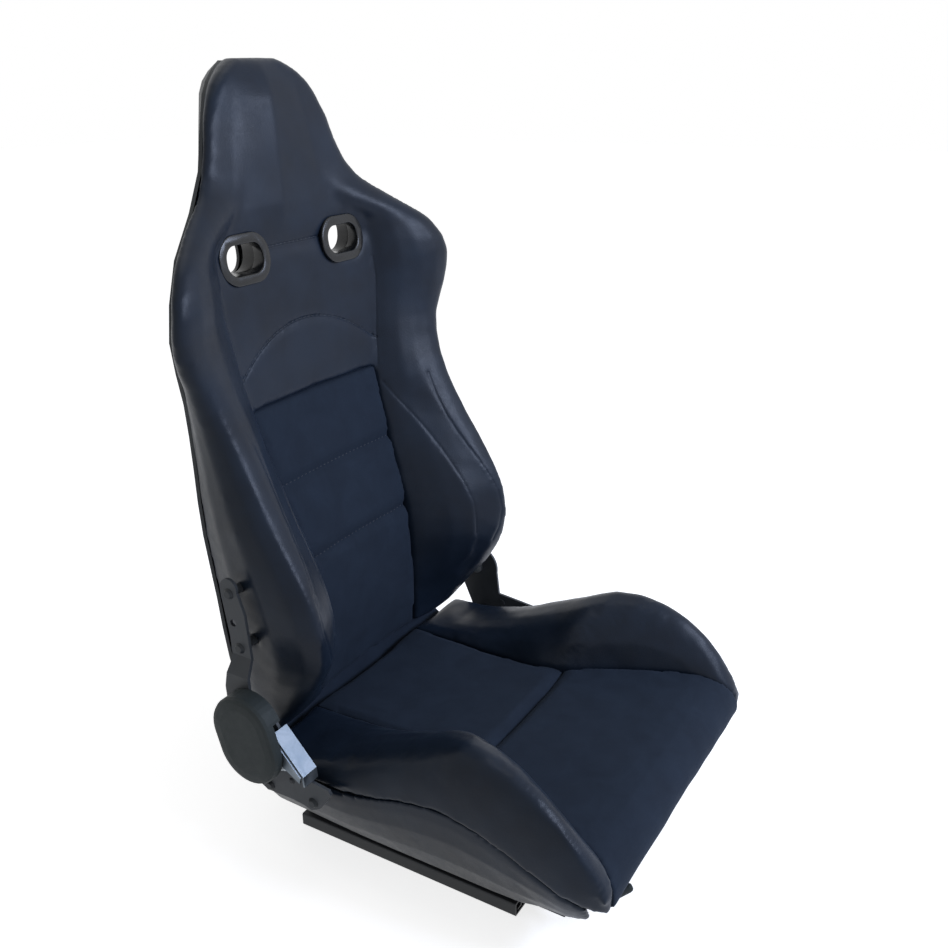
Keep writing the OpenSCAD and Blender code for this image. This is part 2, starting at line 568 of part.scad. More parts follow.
// ================= backrest arms and sector =================
tooth_pitch = 4;            // degrees from tooth to tooth
sector_start = 239;         // angle of the first tooth, degrees from straight back, rising
root_r = sector_r - tooth_depth;
hinge_boss_r = 22;          // round end of the plain arm on the left
hinge_nut_t = 5;            // nut on the left stud
arm_top = 381;              // top of the arm
jog_z0 = pivot_z + 73;      // the arm bends inward between these heights
jog_z1 = jog_z0 + 22;
arm_bolt_at = [[190, 362], [181, 292]];
arm_hole_at = [188, 324];
arm_hole_r = 4.5;
arm_bolt_r = 4;
back_side_x = back_half_w + 10; // inner face of the arm's upper part
spring_pin_at = 27 * [cos(150), sin(150)];
spring_pin_r = 2.5;
module sector2d() translate(axis) polygon(concat(
    [for (i = [0:sector_teeth - 1]) each [
        root_r * [cos(sector_start + (i - 0.5) * tooth_pitch), sin(sector_start + (i - 0.5) * tooth_pitch)],
        sector_r * [cos(sector_start + (i - 0.12) * tooth_pitch),
            sin(sector_start + (i - 0.12) * tooth_pitch)],
        sector_r * [cos(sector_start + (i + 0.12) * tooth_pitch),
            sin(sector_start + (i + 0.12) * tooth_pitch)]]],
    [root_r * [cos(sector_start + (sector_teeth - 0.5) * tooth_pitch),
        sin(sector_start + (sector_teeth - 0.5) * tooth_pitch)], [0, 0]]));
module arm_outline2d() polygon([[pivot_y - 22, pivot_z + 22], [162, 232], [165, 286], [169, 338],
    [pivot_y + 19.5, arm_top - 17], [pivot_y + 26, arm_top - 9], [pivot_y + 39, arm_top - 9],
    [pivot_y + 45.3, arm_top - 17], [202, 352], [195, 305], [194, 272], [201, 240], [200, 216],
    [pivot_y + 30, pivot_z + 8]]);
module arm_jog() rotate([90, 0, 0]) translate([0, 0, -arm_top]) linear_extrude(2 * arm_top) polygon([
    [arm_x, pivot_z - 60], [arm_x + plate_t, pivot_z - 60], [arm_x + plate_t, jog_z0 + 1],
    [back_side_x + plate_t, jog_z1 + 1], [back_side_x + plate_t, arm_top + 5], [back_side_x, arm_top + 5],
    [back_side_x, jog_z1 - 1], [arm_x, jog_z0 - 1]]);
module upper_arm(toothed) difference() {
    union() {
        intersection() {
            arm_jog();
            plate_yz(back_side_x - 5, arm_x + plate_t - back_side_x + 10) arm_outline2d();
        }
        rod_x(back_side_x, back_side_x + plate_t, pivot_y + 32.5, arm_top - 12.5, 12.5);
        rod_x(arm_x, arm_x + plate_t, pivot_y, pivot_z, toothed ? root_r - 2 : hinge_boss_r);
        if (toothed) plate_yz(arm_x, plate_t) sector2d();
    }
    rod_x(arm_x - 1, arm_x + plate_t + 1, pivot_y, pivot_z, stud_r + run_clear);
    rod_x(back_side_x - 1, back_side_x + plate_t + 1, arm_hole_at[0], arm_hole_at[1], arm_hole_r);
    for (p = arm_bolt_at) rod_x(back_side_x - 1, back_side_x + plate_t + 1, p[0], p[1], arm_bolt_r + fit);
    if (toothed) rod_x(arm_x - 1, arm_x + plate_t + 1, pivot_y + spring_pin_at[0], pivot_z + spring_pin_at[1],
        spring_pin_r + fit);
}
module upper_arm_left() color("#2a2c30") upper_arm(false);
module upper_arm_right() color("#2a2c30") on_right() upper_arm(true);
module spring_pin() color("#b4b8bc") on_right()
    rod_x(arm_x, spring_x + spring_w, pivot_y + spring_pin_at[0], pivot_z + spring_pin_at[1], spring_pin_r);

// flat spiral from the stud's slot out to the spring pin
spring_t = 1.2;
spring_in = stud_r + 1.5;
spring_out = 27 - spring_pin_r - spring_t - 0.1;
function spiral(u, off) = (spring_in + (spring_out - spring_in) * u + off)
    * [cos(150 + 360 * spring_turns * (u - 1)), sin(150 + 360 * spring_turns * (u - 1))];
module return_spring() color("#6d7278") on_right() plate_yz(spring_x, spring_w) translate(axis)
    polygon(concat(
    [for (i = [0:24 * spring_turns]) spiral(i / (24 * spring_turns), 0)],
    [for (i = [24 * spring_turns:-1:0]) spiral(i / (24 * spring_turns), spring_t)]));

// ================= recline lever and pawl =================
pawl_swing = 8;                     // degrees the pawl turns as the lever lifts
pin_r = 3;                          // drive pin on the lever
pin_orbit = 44;                     // radius of the drive pin's path
pin_angle = 264;
function turn(p, a) = [p[0] * cos(a) - p[1] * sin(a), p[0] * sin(a) + p[1] * cos(a)];
// the drive pin's place in the pawl's own frame when the lever has lifted by a share s
function pin_path(s) = let (q = pin_orbit * [cos(pin_angle - lever_lift * s),
    sin(pin_angle - lever_lift * s)])
    pawl_at + turn(q - pawl_at, pawl_swing * s);
slot_clear = 0.3;
module pin_slot2d() {
    n = 6;
    q = [for (i = [0:n]) pin_path(i / n)];
    w = pin_r + slot_clear;
    function side(i, s) = let (a = q[max(i - 1, 0)], b = q[min(i + 1, n)], d = (b - a) / norm(b - a))
        q[i] + s * w * [-d[1], d[0]];
    polygon(concat([for (i = [0:n]) side(i, 1)], [for (i = [n:-1:0]) side(i, -1)]));
    translate(q[0]) circle(r = w);
    translate(q[n]) circle(r = w);
}
pawl_tip_r = sector_r + pawl_gap;
pawl_teeth = 5;
pawl_mid = 262;                     // angle of the pawl's middle tooth
// teeth spaces of the pawl, cut outward from the ring that the sector sweeps
module pawl_tooth_spaces2d() for (i = [0:pawl_teeth])
    polygon([for (k = [-0.5, -0.12, 0.12, 0.5])
        let (a = pawl_mid + (i - pawl_teeth / 2) * tooth_pitch + k * tooth_pitch,
            r = abs(k) < 0.3 ? pawl_tip_r + tooth_depth : pawl_tip_r - 1)
        r * [cos(a), sin(a)]]);
module pawl() color("#a6aab0") on_right() difference() {
    union() {
        rod_x(arm_x, arm_x + plate_t, pivot_y + pawl_at[0], pivot_z + pawl_at[1], 9);
        plate_yz(arm_x, plate_t) translate(axis) polygon([pawl_at + [-3, -7.4], pawl_at + [0, 7], [-26, -27],
            [-14, -32], [6, -34], [11, -36], [14, -45], [6, -52], [-14, -50]]);
    }
    rod_x(arm_x - 1, arm_x + plate_t + 1, pivot_y, pivot_z, pawl_tip_r);
    plate_yz(arm_x - 1, plate_t + 2) translate(axis) pawl_tooth_spaces2d();
    plate_yz(arm_x - 1, plate_t + 2) translate(axis) pin_slot2d();
    rod_x(arm_x - 1, arm_x + plate_t + 1, pivot_y + pawl_at[0], pivot_z + pawl_at[1], pawl_pin_r + run_clear);
}
handle_root = [-35, 17];            // upper end of the handle strip, from the axis
handle_end = [-76, -28];            // lower end of the handle strip
handle_w = 27;
tab_drop = 12.5;                    // end tab below the handle strip
module recline_lever() color("#8fa3b8") on_right() {
    difference() {
        plate_yz(lever_x, lever_t) translate(axis) {
            circle(r = 15);
            polygon([[-8, 13], [-26, 24], handle_root + [2, 4], handle_root, handle_end, [-74, -36],
                [-58, -26],
                [-30, -10], [-12, -12]]);
            polygon([[-10, -10], [-9.5, -45], [-5, -48.2], [1, -46.5], [10, -10]]);
        }
        rod_x(lever_x - 1, lever_x + lever_t + 1, pivot_y, pivot_z, stud_r + run_clear);
        rod_x(lever_x - 1, lever_x + lever_t + 1, pivot_y + pin_orbit * cos(pin_angle),
            pivot_z + pin_orbit * sin(pin_angle),
            pin_r + fit);
    }
    plate_yz(lever_x + lever_t - handle_w, handle_w - lever_t + eps) translate(axis)
        polygon([handle_root, handle_root + [-1.8, 1.7], handle_end + [-2.4, 0.8],
            handle_end + [-4, -tab_drop],
            handle_end + [-1.5, -tab_drop - 0.3], handle_end]);
}
module lever_drive_pin() color("#b4b8bc") on_right()
    rod_x(arm_x + 0.2, lever_x + lever_t, pivot_y + pin_orbit * cos(pin_angle),
        pivot_z + pin_orbit * sin(pin_angle), pin_r);

// ================= recliner cover =================
cover_x0 = arm_x + plate_t + 1.2;    // rim of the cover
cover_x1 = bracket_x + plate_t + cover_out;
cover_top = [158, 203];
cover_low = [151, 179];
module cover_dome(r, x0, x1, soft) {
    for (c = [cover_top, cover_low]) translate([x0, c[0], c[1]]) rotate([0, 90, 0])
        rotate_extrude($fn = 40) polygon([[0, 0], [r, 0], [r, x1 - x0 - soft],
            [r - soft * 0.3, x1 - x0 - soft * 0.38],
            [r - soft, x1 - x0 - 1], [r - soft * 2.4, x1 - x0], [0, x1 - x0]]);
}
module recliner_cover_right() color("#2f3432") on_right() {
    difference() {
        hull() cover_dome(cover_r, cover_x0, cover_x1, 6);
        hull() cover_dome(cover_r - cover_wall, cover_x0 - 1, cover_x1 - cover_wall, 5);
        translate([cover_x0 - 1, pivot_y - 70, pivot_z - 52])
            cube([lever_x + lever_t + 2 - cover_x0, 45, 86]);
    }
    rod_x(stud_end + seat_gap, cover_x1 - cover_wall + 0.5, pivot_y, pivot_z, 8);
}

// ================= backrest surfaces =================
arch_z = 604;               // mean height of the arch seam
panel_seams = [340, 440, 537];
round_z = head_top_z - 38;  // where the head starts to round over
round_r = 40;
FACE_Y = [[back_bottom_z, 186], [200, 185], [260, 187], [340, 195], [440, 225], [537, 251], [640, 264],
    [719, 272],
    [800, 282], [870, 290], [head_top_z, 301]];
HALF_W = [[back_bottom_z, 205], [200, 214], [250, 226], [330, back_half_w], [420, back_half_w],
    [520, back_half_w - 8],
    [590, back_half_w + 2], [645, wing_half_w], [695, wing_half_w], [730, 245], [762, 200], [795, 150],
    [830, 124], [870, head_half_w], [910, 89], [932, 62], [head_top_z, 38]];
RIM_X = [[back_bottom_z, 197], [250, 212], [330, back_half_w - 24], [420, back_half_w - 24],
    [520, back_half_w - 27],
    [590, back_half_w - 14], [645, wing_half_w - 14], [695, wing_half_w - 12], [730, 233], [762, 192],
    [795, 145],
    [830, 121], [870, head_half_w - 6], [910, 82], [932, 54], [head_top_z, 34]];
RIM_Y = [[back_bottom_z, 233], [200, 238], [250, 240], [330, 245], [420, 257], [520, 263], [590, 254],
    [650, 234],
    [690, 226], [730, 238], [770, 268], [810, 290], [870, 303], [910, 316], [head_top_z, 332]];
REAR_POWER = [[back_bottom_z, 8], [420, 8], [520, 5], [600, 3.4], [650, 2.5], [700, 1.85], [740, 1.9],
    [head_top_z, 2.5]];
// how far the rear panel swells behind the frame tubes
REAR_CROWN = [[back_bottom_z, 6], [600, 6], [670, 2], [745, 2], [800, 6], [head_top_z, 6]];
// from the frame plane to the pads' rear faces
PAD_BACK = [[back_bottom_z, frame_tube_r + 2], [618, frame_tube_r + 2], [645, neck_tube_r + 3.2],
    [head_top_z, neck_tube_r + 3.2]];
RIDGE_Y = [[back_bottom_z, 176], [200, 136], [250, 98], [300, 190 - bolster_depth], [350, 92], [400, 118],
    [450, 149],
    [500, 176], [550, 198], [600, 210], [650, 208], [690, 206], [730, 222], [765, 252], [800, 277],
    [840, 286],
    [head_top_z, 300]];
RIDGE_SHARE = [[back_bottom_z, 0.9], [300, 0.86], [600, 0.88], [690, 0.9], [780, 0.86], [850, 0.8],
    [head_top_z, 0.8]];
PANEL_X = [[back_bottom_z, 112], [250, 114], [340, 115], [440, 121], [537, 129], [600, 140], [660, 150],
    [727, 150]];
HEAD_X = [[727, 150], [742, 142], [765, 104], [795, 76], [840, 66], [910, 52], [head_top_z, 26]];
function face_y(z) = curve(FACE_Y, z);
function half_w(z) = curve(HALF_W, z);
function rim_y(z) = curve(RIM_Y, z);
function rim_x(z) = curve(RIM_X, z);
function panel_x(z) = z < slot_seam_z ? curve(PANEL_X, z) : curve(HEAD_X, z);
// how far the frame's plane sinks forward behind the harness slots, where the back is thin
NECK_SINK = [[600, 0], [650, 6], [719, 19], [745, 15], [780, 6], [800, 0], [head_top_z, 0]];
function frame_y(z) = 222 + (z - 170) * frame_lean - (z < 600 ? 0 : curve(NECK_SINK, z));
function over_top(z) = z < round_z ? 0 : round_r - sqrt(max(0, round_r * round_r - pow(z - round_z, 2)));
lining = 3;                    // from the pads' rear faces to the rear panel
panel_front = frame_tube_r + 1;  // from the frame plane to the rear panel's inner face
front_over = 0.35;               // share of the round-over that the front takes
rear_over = 1.2;                 // share that the rear takes
// inner face of the rear panel: full in the middle, falling forward to the rim
function rear_in(x, z) = rim_y(z) + (frame_y(z) + panel_front + curve(REAR_CROWN,
    z) - over_top(z) * rear_over - rim_y(z))
    * (1 - pow(min(1, abs(x) / rim_x(z)), curve(REAR_POWER, z)));
// the lower end stays inside a circle round the recline axis, clear of the cushion
swing_r = 48.7;
function swing_y(z) = z < pivot_z ? pivot_y + sqrt(max(0,
    swing_r * swing_r - pow(pivot_z - z, 2))) : rim_y(z) + 99;
function back_y(x, z) = min(frame_y(z) - curve(PAD_BACK, z), rear_in(x, z) - lining, swing_y(z));
slot_seam_z = 727;
function arch(x) = 26 - 56 * pow(x / 140, 2);
function front_y(x, z) = face_y(z) - 7 * pow(abs(x) / 140, 2) + over_top(z) * front_over;
function channel(z, at) = channel_depth * exp(-pow((z - at) / 6, 2));
function channels(z) = channel(z, panel_seams[0]) + channel(z, panel_seams[1]);

module back_panel(rows, cols, lift0, lift1, dent = 0) {
    // rows run from 0 to 1, each end lifted along the arch
    function zz(t, x) = rows[0] + (rows[1] - rows[0]) * t + lift0 * arch(x) * (1 - t) + lift1 * arch(x) * t;
    // half-width at a row's own height, found by stepping down to its edge
    function wide(t, c) = let (w = panel_x(zz(t, c * panel_x(zz(t, 0))))) panel_x(zz(t, c * w)) - side_gap;
    function welt(t) = channel_depth * 0.5 * (exp(-pow(t * 14, 2)) + exp(-pow((1 - t) * 14, 2)));
    ts = rows[2];
    slab([for (t = ts) [for (c = cols) let (x = c * wide(t, c), z = zz(t, x))
            [x, front_y(x, z) + dent * channels(z) + welt(t), z]]],
        [for (t = ts) [for (c = cols) let (x = c * wide(t, c), z = zz(t, x)) [x, back_y(x, z), z]]]);
}
lumbar_rows = [0, 0.03, 0.12, 0.24, 0.36, 0.455, 0.475, 0.491, 0.507, 0.527, 0.6, 0.69, 0.725, 0.745, 0.76,
    0.775,
    0.795, 0.87, 0.94, 0.98, 1];
module lumbar_pad() color("#1d2026")
    back_panel([back_bottom_z, panel_seams[2] - seat_gap, lumbar_rows], steps(-1, 1, 8), 0, 0, 1);
module arch_pad() color("#14171c")
    back_panel([panel_seams[2] + seat_gap, arch_z - seat_gap, [0, 0.08, 0.3, 0.6, 0.9, 1]],
        steps(-1, 1, 10), 0, 1);
// cutter for a harness sleeve and the flat that its flange lies on
surface_lean = 8;
bezel_y = face_y(slot_z) - 4;
sleeve_split = bezel_y + 14;    // where the front and the rear sleeve meet
rear_grow = 3;                  // how much wider the rear sleeve is on each side
sleeve_rear = rear_in(slot_x, slot_z) + rear_panel_t;
module slot_outline(grow) rounded2d(slot_w + 2 * grow, slot_h + 2 * grow, (slot_h + 2 * grow) / 2 - 2);
module along_y(y0, y1) translate([slot_x, y1, slot_z]) rotate([90, 0, 0]) linear_extrude(y1 - y0) children();
module bezel_seat(front, back) translate([slot_x, bezel_y, slot_z]) rotate([90 - surface_lean, 0, 0])
    translate([0, 0, -back]) linear_extrude(front + back) children();
module sleeve_cutter() {
    along_y(face_y(slot_z) - 120, sleeve_split) slot_outline(slot_wall + seat_gap);
    along_y(sleeve_split - seat_gap, sleeve_rear + 90) slot_outline(slot_wall + rear_grow + seat_gap);
}
module slot_cutter() both_sides() {
    sleeve_cutter();
    bezel_seat(60, bezel_t / 2 + seat_gap) slot_outline(slot_wall + bezel_w + seat_gap);
}
module upper_back_pad() color("#14171c") difference() {
    back_panel([arch_z + seat_gap, slot_seam_z - seat_gap, [0, 0.06, 0.25, 0.45, 0.65, 0.85, 1]],
        steps(-1, 1, 10), 1, 0);
    slot_cutter();
}
neck_rows = concat([734, 742, 750, 758, 768, 780, 795, 815, 845, 875, round_z],
    [for (a = [20, 38, 54, 66, 72]) round_z + round_r * sin(a)]);
head_z = concat([slot_seam_z + seat_gap], neck_rows);
module headrest_pad() color("#1a1d23") difference() {
    cols = steps(-1, 1, 8);
    slab([for (z = head_z) [for (c = cols) let (x = c * (panel_x(z) - side_gap))
            [x, front_y(x, z) + 3 * exp(-pow((z - slot_seam_z) / 5, 2)), z]]],
        [for (z = head_z) [for (c = cols) let (x = c * (panel_x(z) - side_gap))
            [x, back_y(x, z), z]]]);
    slot_cutter();
}
// side piece of the backrest between two heights
module back_side(zs) {
    function seam(z) = [panel_x(z), front_y(panel_x(z), z)];
    function ridge(z) = [panel_x(z) + (half_w(z) - panel_x(z)) * curve(RIDGE_SHARE, z),
        min(curve(RIDGE_Y, z) + over_top(z) * front_over, seam(z)[1] + 6)];
    function rim(z) = [rim_x(z) - 0.2, min(rim_y(z) - seat_gap, swing_y(z) - 2)];
    slab([for (z = zs) let (s = seam(z), r = ridge(z), e = rim(z))
            concat([for (u = [0, 0.12, 0.3, 0.55, 0.8])
                    let (q = bezier2(s, [s[0] + (r[0] - s[0]) * 0.45, r[1]], r, u)) [q[0], q[1], z]],
                [for (u = [0, 0.22, 0.5, 0.78, 1])
                    let (q = bezier2(r, [2 * half_w(z) - (r[0] + e[0]) / 2, r[1] + (e[1] - r[1]) * 0.25],
                        e, u))
                    [q[0], q[1], z]])],
        [for (z = zs) let (a = panel_x(z), b = rim_x(z) - 3) [for (j = [0:9]) let (x = a + (b - a) * j / 9)
            [x, back_y(x, z), z]]]);
}
mount_y = [172, frame_y(330) + 2];       // fore and aft reach of the plates that carry the arms
mount_z = [arm_bolt_at[1][1] - 14, arm_bolt_at[0][1] + 14];
mount_x = upright_x + frame_tube_r;
mount_t = 3;
module back_bolster() difference() {
    back_side(steps(back_bottom_z, 598, 16));
    translate([mount_x - 1, mount_y[0] - 1, mount_z[0] - 1])
        cube([mount_t + 8, 120, mount_z[1] - mount_z[0] + 2]);
    for (p = arm_bolt_at) rod_x(mount_x, back_side_x, p[0], p[1], spacer_r + seat_gap);
}
module back_bolster_left() color("#14171c") back_bolster();
module back_bolster_right() color("#14171c") on_right() back_bolster();
wing_z = concat(steps(598 + seat_gap, slot_seam_z, 6), neck_rows);
module shoulder_wing() difference() {
    back_side(wing_z);
    slot_cutter();
}
module shoulder_wing_left() color("#171a1f") shoulder_wing();
module shoulder_wing_right() color("#171a1f") on_right() shoulder_wing();
panel_z = concat(steps(back_bottom_z + 7, round_z, 18),
    [for (a = [20, 38, 54, 66]) round_z + round_r * sin(a)]);
panel_cols = [-1, -0.96, -0.86, -0.7, -0.45, -0.15, 0.15, 0.45, 0.7, 0.86, 0.96, 1];
module rear_panel() color("#121417") difference() {
    slab([for (z = panel_z) [for (c = panel_cols) let (x = c * rim_x(z)) [x, rear_in(x, z), z]]],
        [for (z = panel_z) [for (c = panel_cols) let (x = c * (rim_x(z) + 1))
            [x, rear_in(x, z) + rear_panel_t, z]]]);
    slot_cutter_rear();
}
rear_lean = 4;
rear_turn = 13;
module rear_seat(front, back) translate([slot_x, sleeve_rear, slot_z]) rotate([90 - rear_lean, 0, -rear_turn])
    translate([0, 0, -back]) linear_extrude(front + back) children();
module slot_cutter_rear() both_sides() {
    sleeve_cutter();
    rear_seat(bezel_t / 4 + seat_gap, 60) slot_outline(slot_wall + bezel_w + seat_gap);
}

// ================= backrest frame =================
function at_frame(x, z) = [x, frame_y(z), z];
frame_low = 186;
shoulder_low = 408;
shoulder_z = 600;
shoulder_x = 95;
neck_x = 38;
neck_top = 892;
weld_bead = 0.8;
shoulder_cut = 26;
neck_cut = 16;
neck_bends = [shoulder_z, 650, 722, 800, neck_top]; // heights where the neck tubes bend
lean_angle = atan(frame_lean);
module back_frame() color("#26282b") {
    bar(eased([at_frame(-upright_x, frame_low), at_frame(-upright_x, shoulder_low),
        at_frame(-shoulder_x, shoulder_z),
        at_frame(shoulder_x, shoulder_z), at_frame(upright_x, shoulder_low), at_frame(upright_x, frame_low)],
        shoulder_cut), frame_tube_r, weld_bead);
    rod_x(-upright_x, upright_x, frame_y(frame_low + 14), frame_low + 14, frame_tube_r - 2);
    bar(eased(concat([for (z = neck_bends) at_frame(-neck_x, z)],
        [for (i = [len(neck_bends) - 1:-1:0]) at_frame(neck_x, neck_bends[i])]), neck_cut), neck_tube_r,
        weld_bead);
}
module arm_mount_plates() color("#26282b") both_sides() difference() {
    plate_yz(mount_x, mount_t) polygon([[mount_y[0], mount_z[0]], [frame_y(mount_z[0]) + 2, mount_z[0]],
        [frame_y(mount_z[1]) + 2, mount_z[1]], [mount_y[0] + 8, mount_z[1]], [mount_y[0], mount_z[1] - 8]]);
    for (p = arm_bolt_at) rod_x(mount_x - 1, mount_x + mount_t + 1, p[0], p[1], arm_bolt_r + fit);
}
module arm_spacers() color("#4a4d52") both_sides() for (p = arm_bolt_at) difference() {
    rod_x(mount_x + mount_t, back_side_x, p[0], p[1], spacer_r);
    rod_x(mount_x, back_side_x + 1, p[0], p[1], arm_bolt_r + fit);
}
module arm_bolts() color("#8f9397") both_sides() for (p = arm_bolt_at) {
    rod_x(mount_x, back_side_x + plate_t, p[0], p[1], arm_bolt_r);
    translate([back_side_x + plate_t, p[0], p[1]]) rotate([0, 90, 0]) cylinder(h = 3.5, r1 = 7, r2 = 4.5);
}
back_strap_z = [232, 277, 322, 367];
back_clip_t = 0.9;
back_strap_half = upright_x - frame_tube_r - back_clip_t - 0.1;
module back_webbing() color("#23252a") for (z = back_strap_z)
    translate([0, frame_y(z), z]) rotate([-lean_angle, 0, 0])
        cube([2 * back_strap_half, strap_t, strap_w - 6], center = true);
module back_webbing_clips() color("#a3a7ab") both_sides() for (z = back_strap_z)
    translate(at_frame(upright_x, z)) rotate([-lean_angle, 0, 0]) difference() {
        cylinder(h = 14, r = frame_tube_r + back_clip_t, center = true);
        cylinder(h = 16, r = frame_tube_r + fit, center = true);
        translate([0, -20, -10]) cube([40, 40, 20]);
    }

// ================= harness bezels =================
module front_bezel() difference() {
    union() {
        along_y(bezel_y, sleeve_split - 0.2) slot_outline(slot_wall);
        bezel_seat(bezel_t / 2, bezel_t / 2) slot_outline(slot_wall + bezel_w);
    }
    along_y(bezel_y - 50, sleeve_rear + 50) slot_outline(0);
}
module rear_bezel() difference() {
    union() {
        along_y(sleeve_split, sleeve_rear) slot_outline(slot_wall + rear_grow);
        rear_seat(bezel_t / 4, bezel_t / 2) slot_outline(slot_wall + bezel_w);
    }
    along_y(bezel_y - 50, sleeve_rear + 50) slot_outline(rear_grow);
}
module harness_bezel_left() color("#0c0d0f") front_bezel();
module harness_bezel_right() color("#0c0d0f") on_right() front_bezel();
module rear_bezel_left() color("#0c0d0f") rear_bezel();
module rear_bezel_right() color("#0c0d0f") on_right() rear_bezel();

lower_rail_right();
lower_rail_left();
rail_stops();
upper_rail_right();
upper_rail_left();
rail_glides();
latch_bearings();
release_lever();
release_grip();
latch_plate();
side_member_right();
side_member_left();
front_cross_tube();
rear_cross_tube();
frame_bolts();
seat_webbing();
webbing_clips();
cushion_pad();
thigh_pad();
cushion_bolster_right();
cushion_bolster_left();
side_skirt_right();
side_skirt_left();
lower_bracket_right();
lower_bracket_left();
bracket_spacers();
bracket_bolts();
pivot_stud_right();
pivot_stud_left();
recliner_cover_right();
pawl_pin();
recline_lever();
lever_drive_pin();
pawl();
upper_arm_right();
upper_arm_left();
return_spring();
spring_pin();
back_frame();
arm_mount_plates();
arm_spacers();
arm_bolts();
back_webbing();
back_webbing_clips();
lumbar_pad();
arch_pad();
upper_back_pad();
headrest_pad();
back_bolster_right();
back_bolster_left();
shoulder_wing_right();
shoulder_wing_left();
rear_panel();
harness_bezel_right();
harness_bezel_left();
rear_bezel_right();
rear_bezel_left();
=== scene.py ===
"""A reclining sports seat: padded covers, straps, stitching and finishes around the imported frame."""
import json
import math

import bmesh
import bpy
import numpy as np
from mathutils import Matrix, Vector
from mathutils.bvhtree import BVHTree
from mathutils.kdtree import KDTree


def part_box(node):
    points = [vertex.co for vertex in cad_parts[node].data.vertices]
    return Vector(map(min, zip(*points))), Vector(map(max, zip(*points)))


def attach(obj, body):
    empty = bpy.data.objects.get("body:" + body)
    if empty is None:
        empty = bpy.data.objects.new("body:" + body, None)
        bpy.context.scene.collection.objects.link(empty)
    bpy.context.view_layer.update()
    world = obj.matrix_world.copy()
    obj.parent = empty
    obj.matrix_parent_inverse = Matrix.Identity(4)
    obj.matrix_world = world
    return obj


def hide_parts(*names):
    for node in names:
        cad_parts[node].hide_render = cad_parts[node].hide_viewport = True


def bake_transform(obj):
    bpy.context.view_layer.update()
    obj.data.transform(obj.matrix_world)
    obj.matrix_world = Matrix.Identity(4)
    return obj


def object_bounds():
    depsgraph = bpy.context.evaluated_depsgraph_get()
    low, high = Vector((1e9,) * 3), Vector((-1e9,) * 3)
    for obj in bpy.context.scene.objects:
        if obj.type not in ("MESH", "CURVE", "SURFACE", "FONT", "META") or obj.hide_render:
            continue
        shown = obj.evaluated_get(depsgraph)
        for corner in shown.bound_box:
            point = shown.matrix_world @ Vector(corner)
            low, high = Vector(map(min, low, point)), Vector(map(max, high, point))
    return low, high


MM = 0.001
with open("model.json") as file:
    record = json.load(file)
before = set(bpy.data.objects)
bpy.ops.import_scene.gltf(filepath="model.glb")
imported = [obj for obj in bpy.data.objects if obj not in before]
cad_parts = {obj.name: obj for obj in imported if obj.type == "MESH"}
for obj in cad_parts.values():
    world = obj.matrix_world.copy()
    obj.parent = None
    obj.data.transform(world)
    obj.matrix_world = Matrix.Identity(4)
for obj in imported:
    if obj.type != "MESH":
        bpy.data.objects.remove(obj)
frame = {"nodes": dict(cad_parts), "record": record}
cad_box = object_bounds()
NODES = frame["nodes"]
RIGHT, LEFT = "right", "left"

# ---------------------------------------------------------------- node helper


def rgb(code):
    """an sRGB hex colour as linear values, with full alpha"""
    parts = [int(code[i:i + 2], 16) / 255 for i in (1, 3, 5)]
    return [c / 12.92 if c <= 0.04045 else ((c + 0.055) / 1.055) ** 2.4 for c in parts] + [1.0]


def per_mm(size):
    """a texture's scale for features of this size in millimetres"""
    return 1 / (size * MM)


def add(mat, kind, settings=None, links=None):
    """adds one node; a link's value is a number, a colour or another node's output"""
    node = mat.node_tree.nodes.new("ShaderNode" + kind)
    for key, value in (settings or {}).items():
        setattr(node, key, value)
    for key, value in (links or {}).items():
        socket = node.inputs[key]
        if isinstance(value, bpy.types.NodeSocket):
            mat.node_tree.links.new(value, socket)
        else:
            socket.default_value = value
    return node


def surface(name, **values):
    """a new material with one Principled shader; plain values go on the shader's own sockets"""
    mat = bpy.data.materials.new(name)
    mat.use_nodes = True
    shader = mat.node_tree.nodes["Principled BSDF"]
    for key, value in values.items():
        shader.inputs[key.replace("_", " ")].default_value = value
    place = add(mat, "TexCoord").outputs["Object"]
    return mat, shader, place


def join(mat, output, socket):
    mat.node_tree.links.new(output, socket)


def mix(mat, low, high, factor):
    """a colour between two, by a factor"""
    node = add(mat, "Mix", {"data_type": "RGBA"}, {0: factor, 6: low, 7: high})
    return node.outputs[2]


def remap(mat, value, low, high, to_low, to_high):
    node = add(mat, "MapRange", None, {"Value": value, "From Min": low, "From Max": high,
                                       "To Min": to_low, "To Max": to_high})
    return node.outputs["Result"]


# ---------------------------------------------------------------- materials


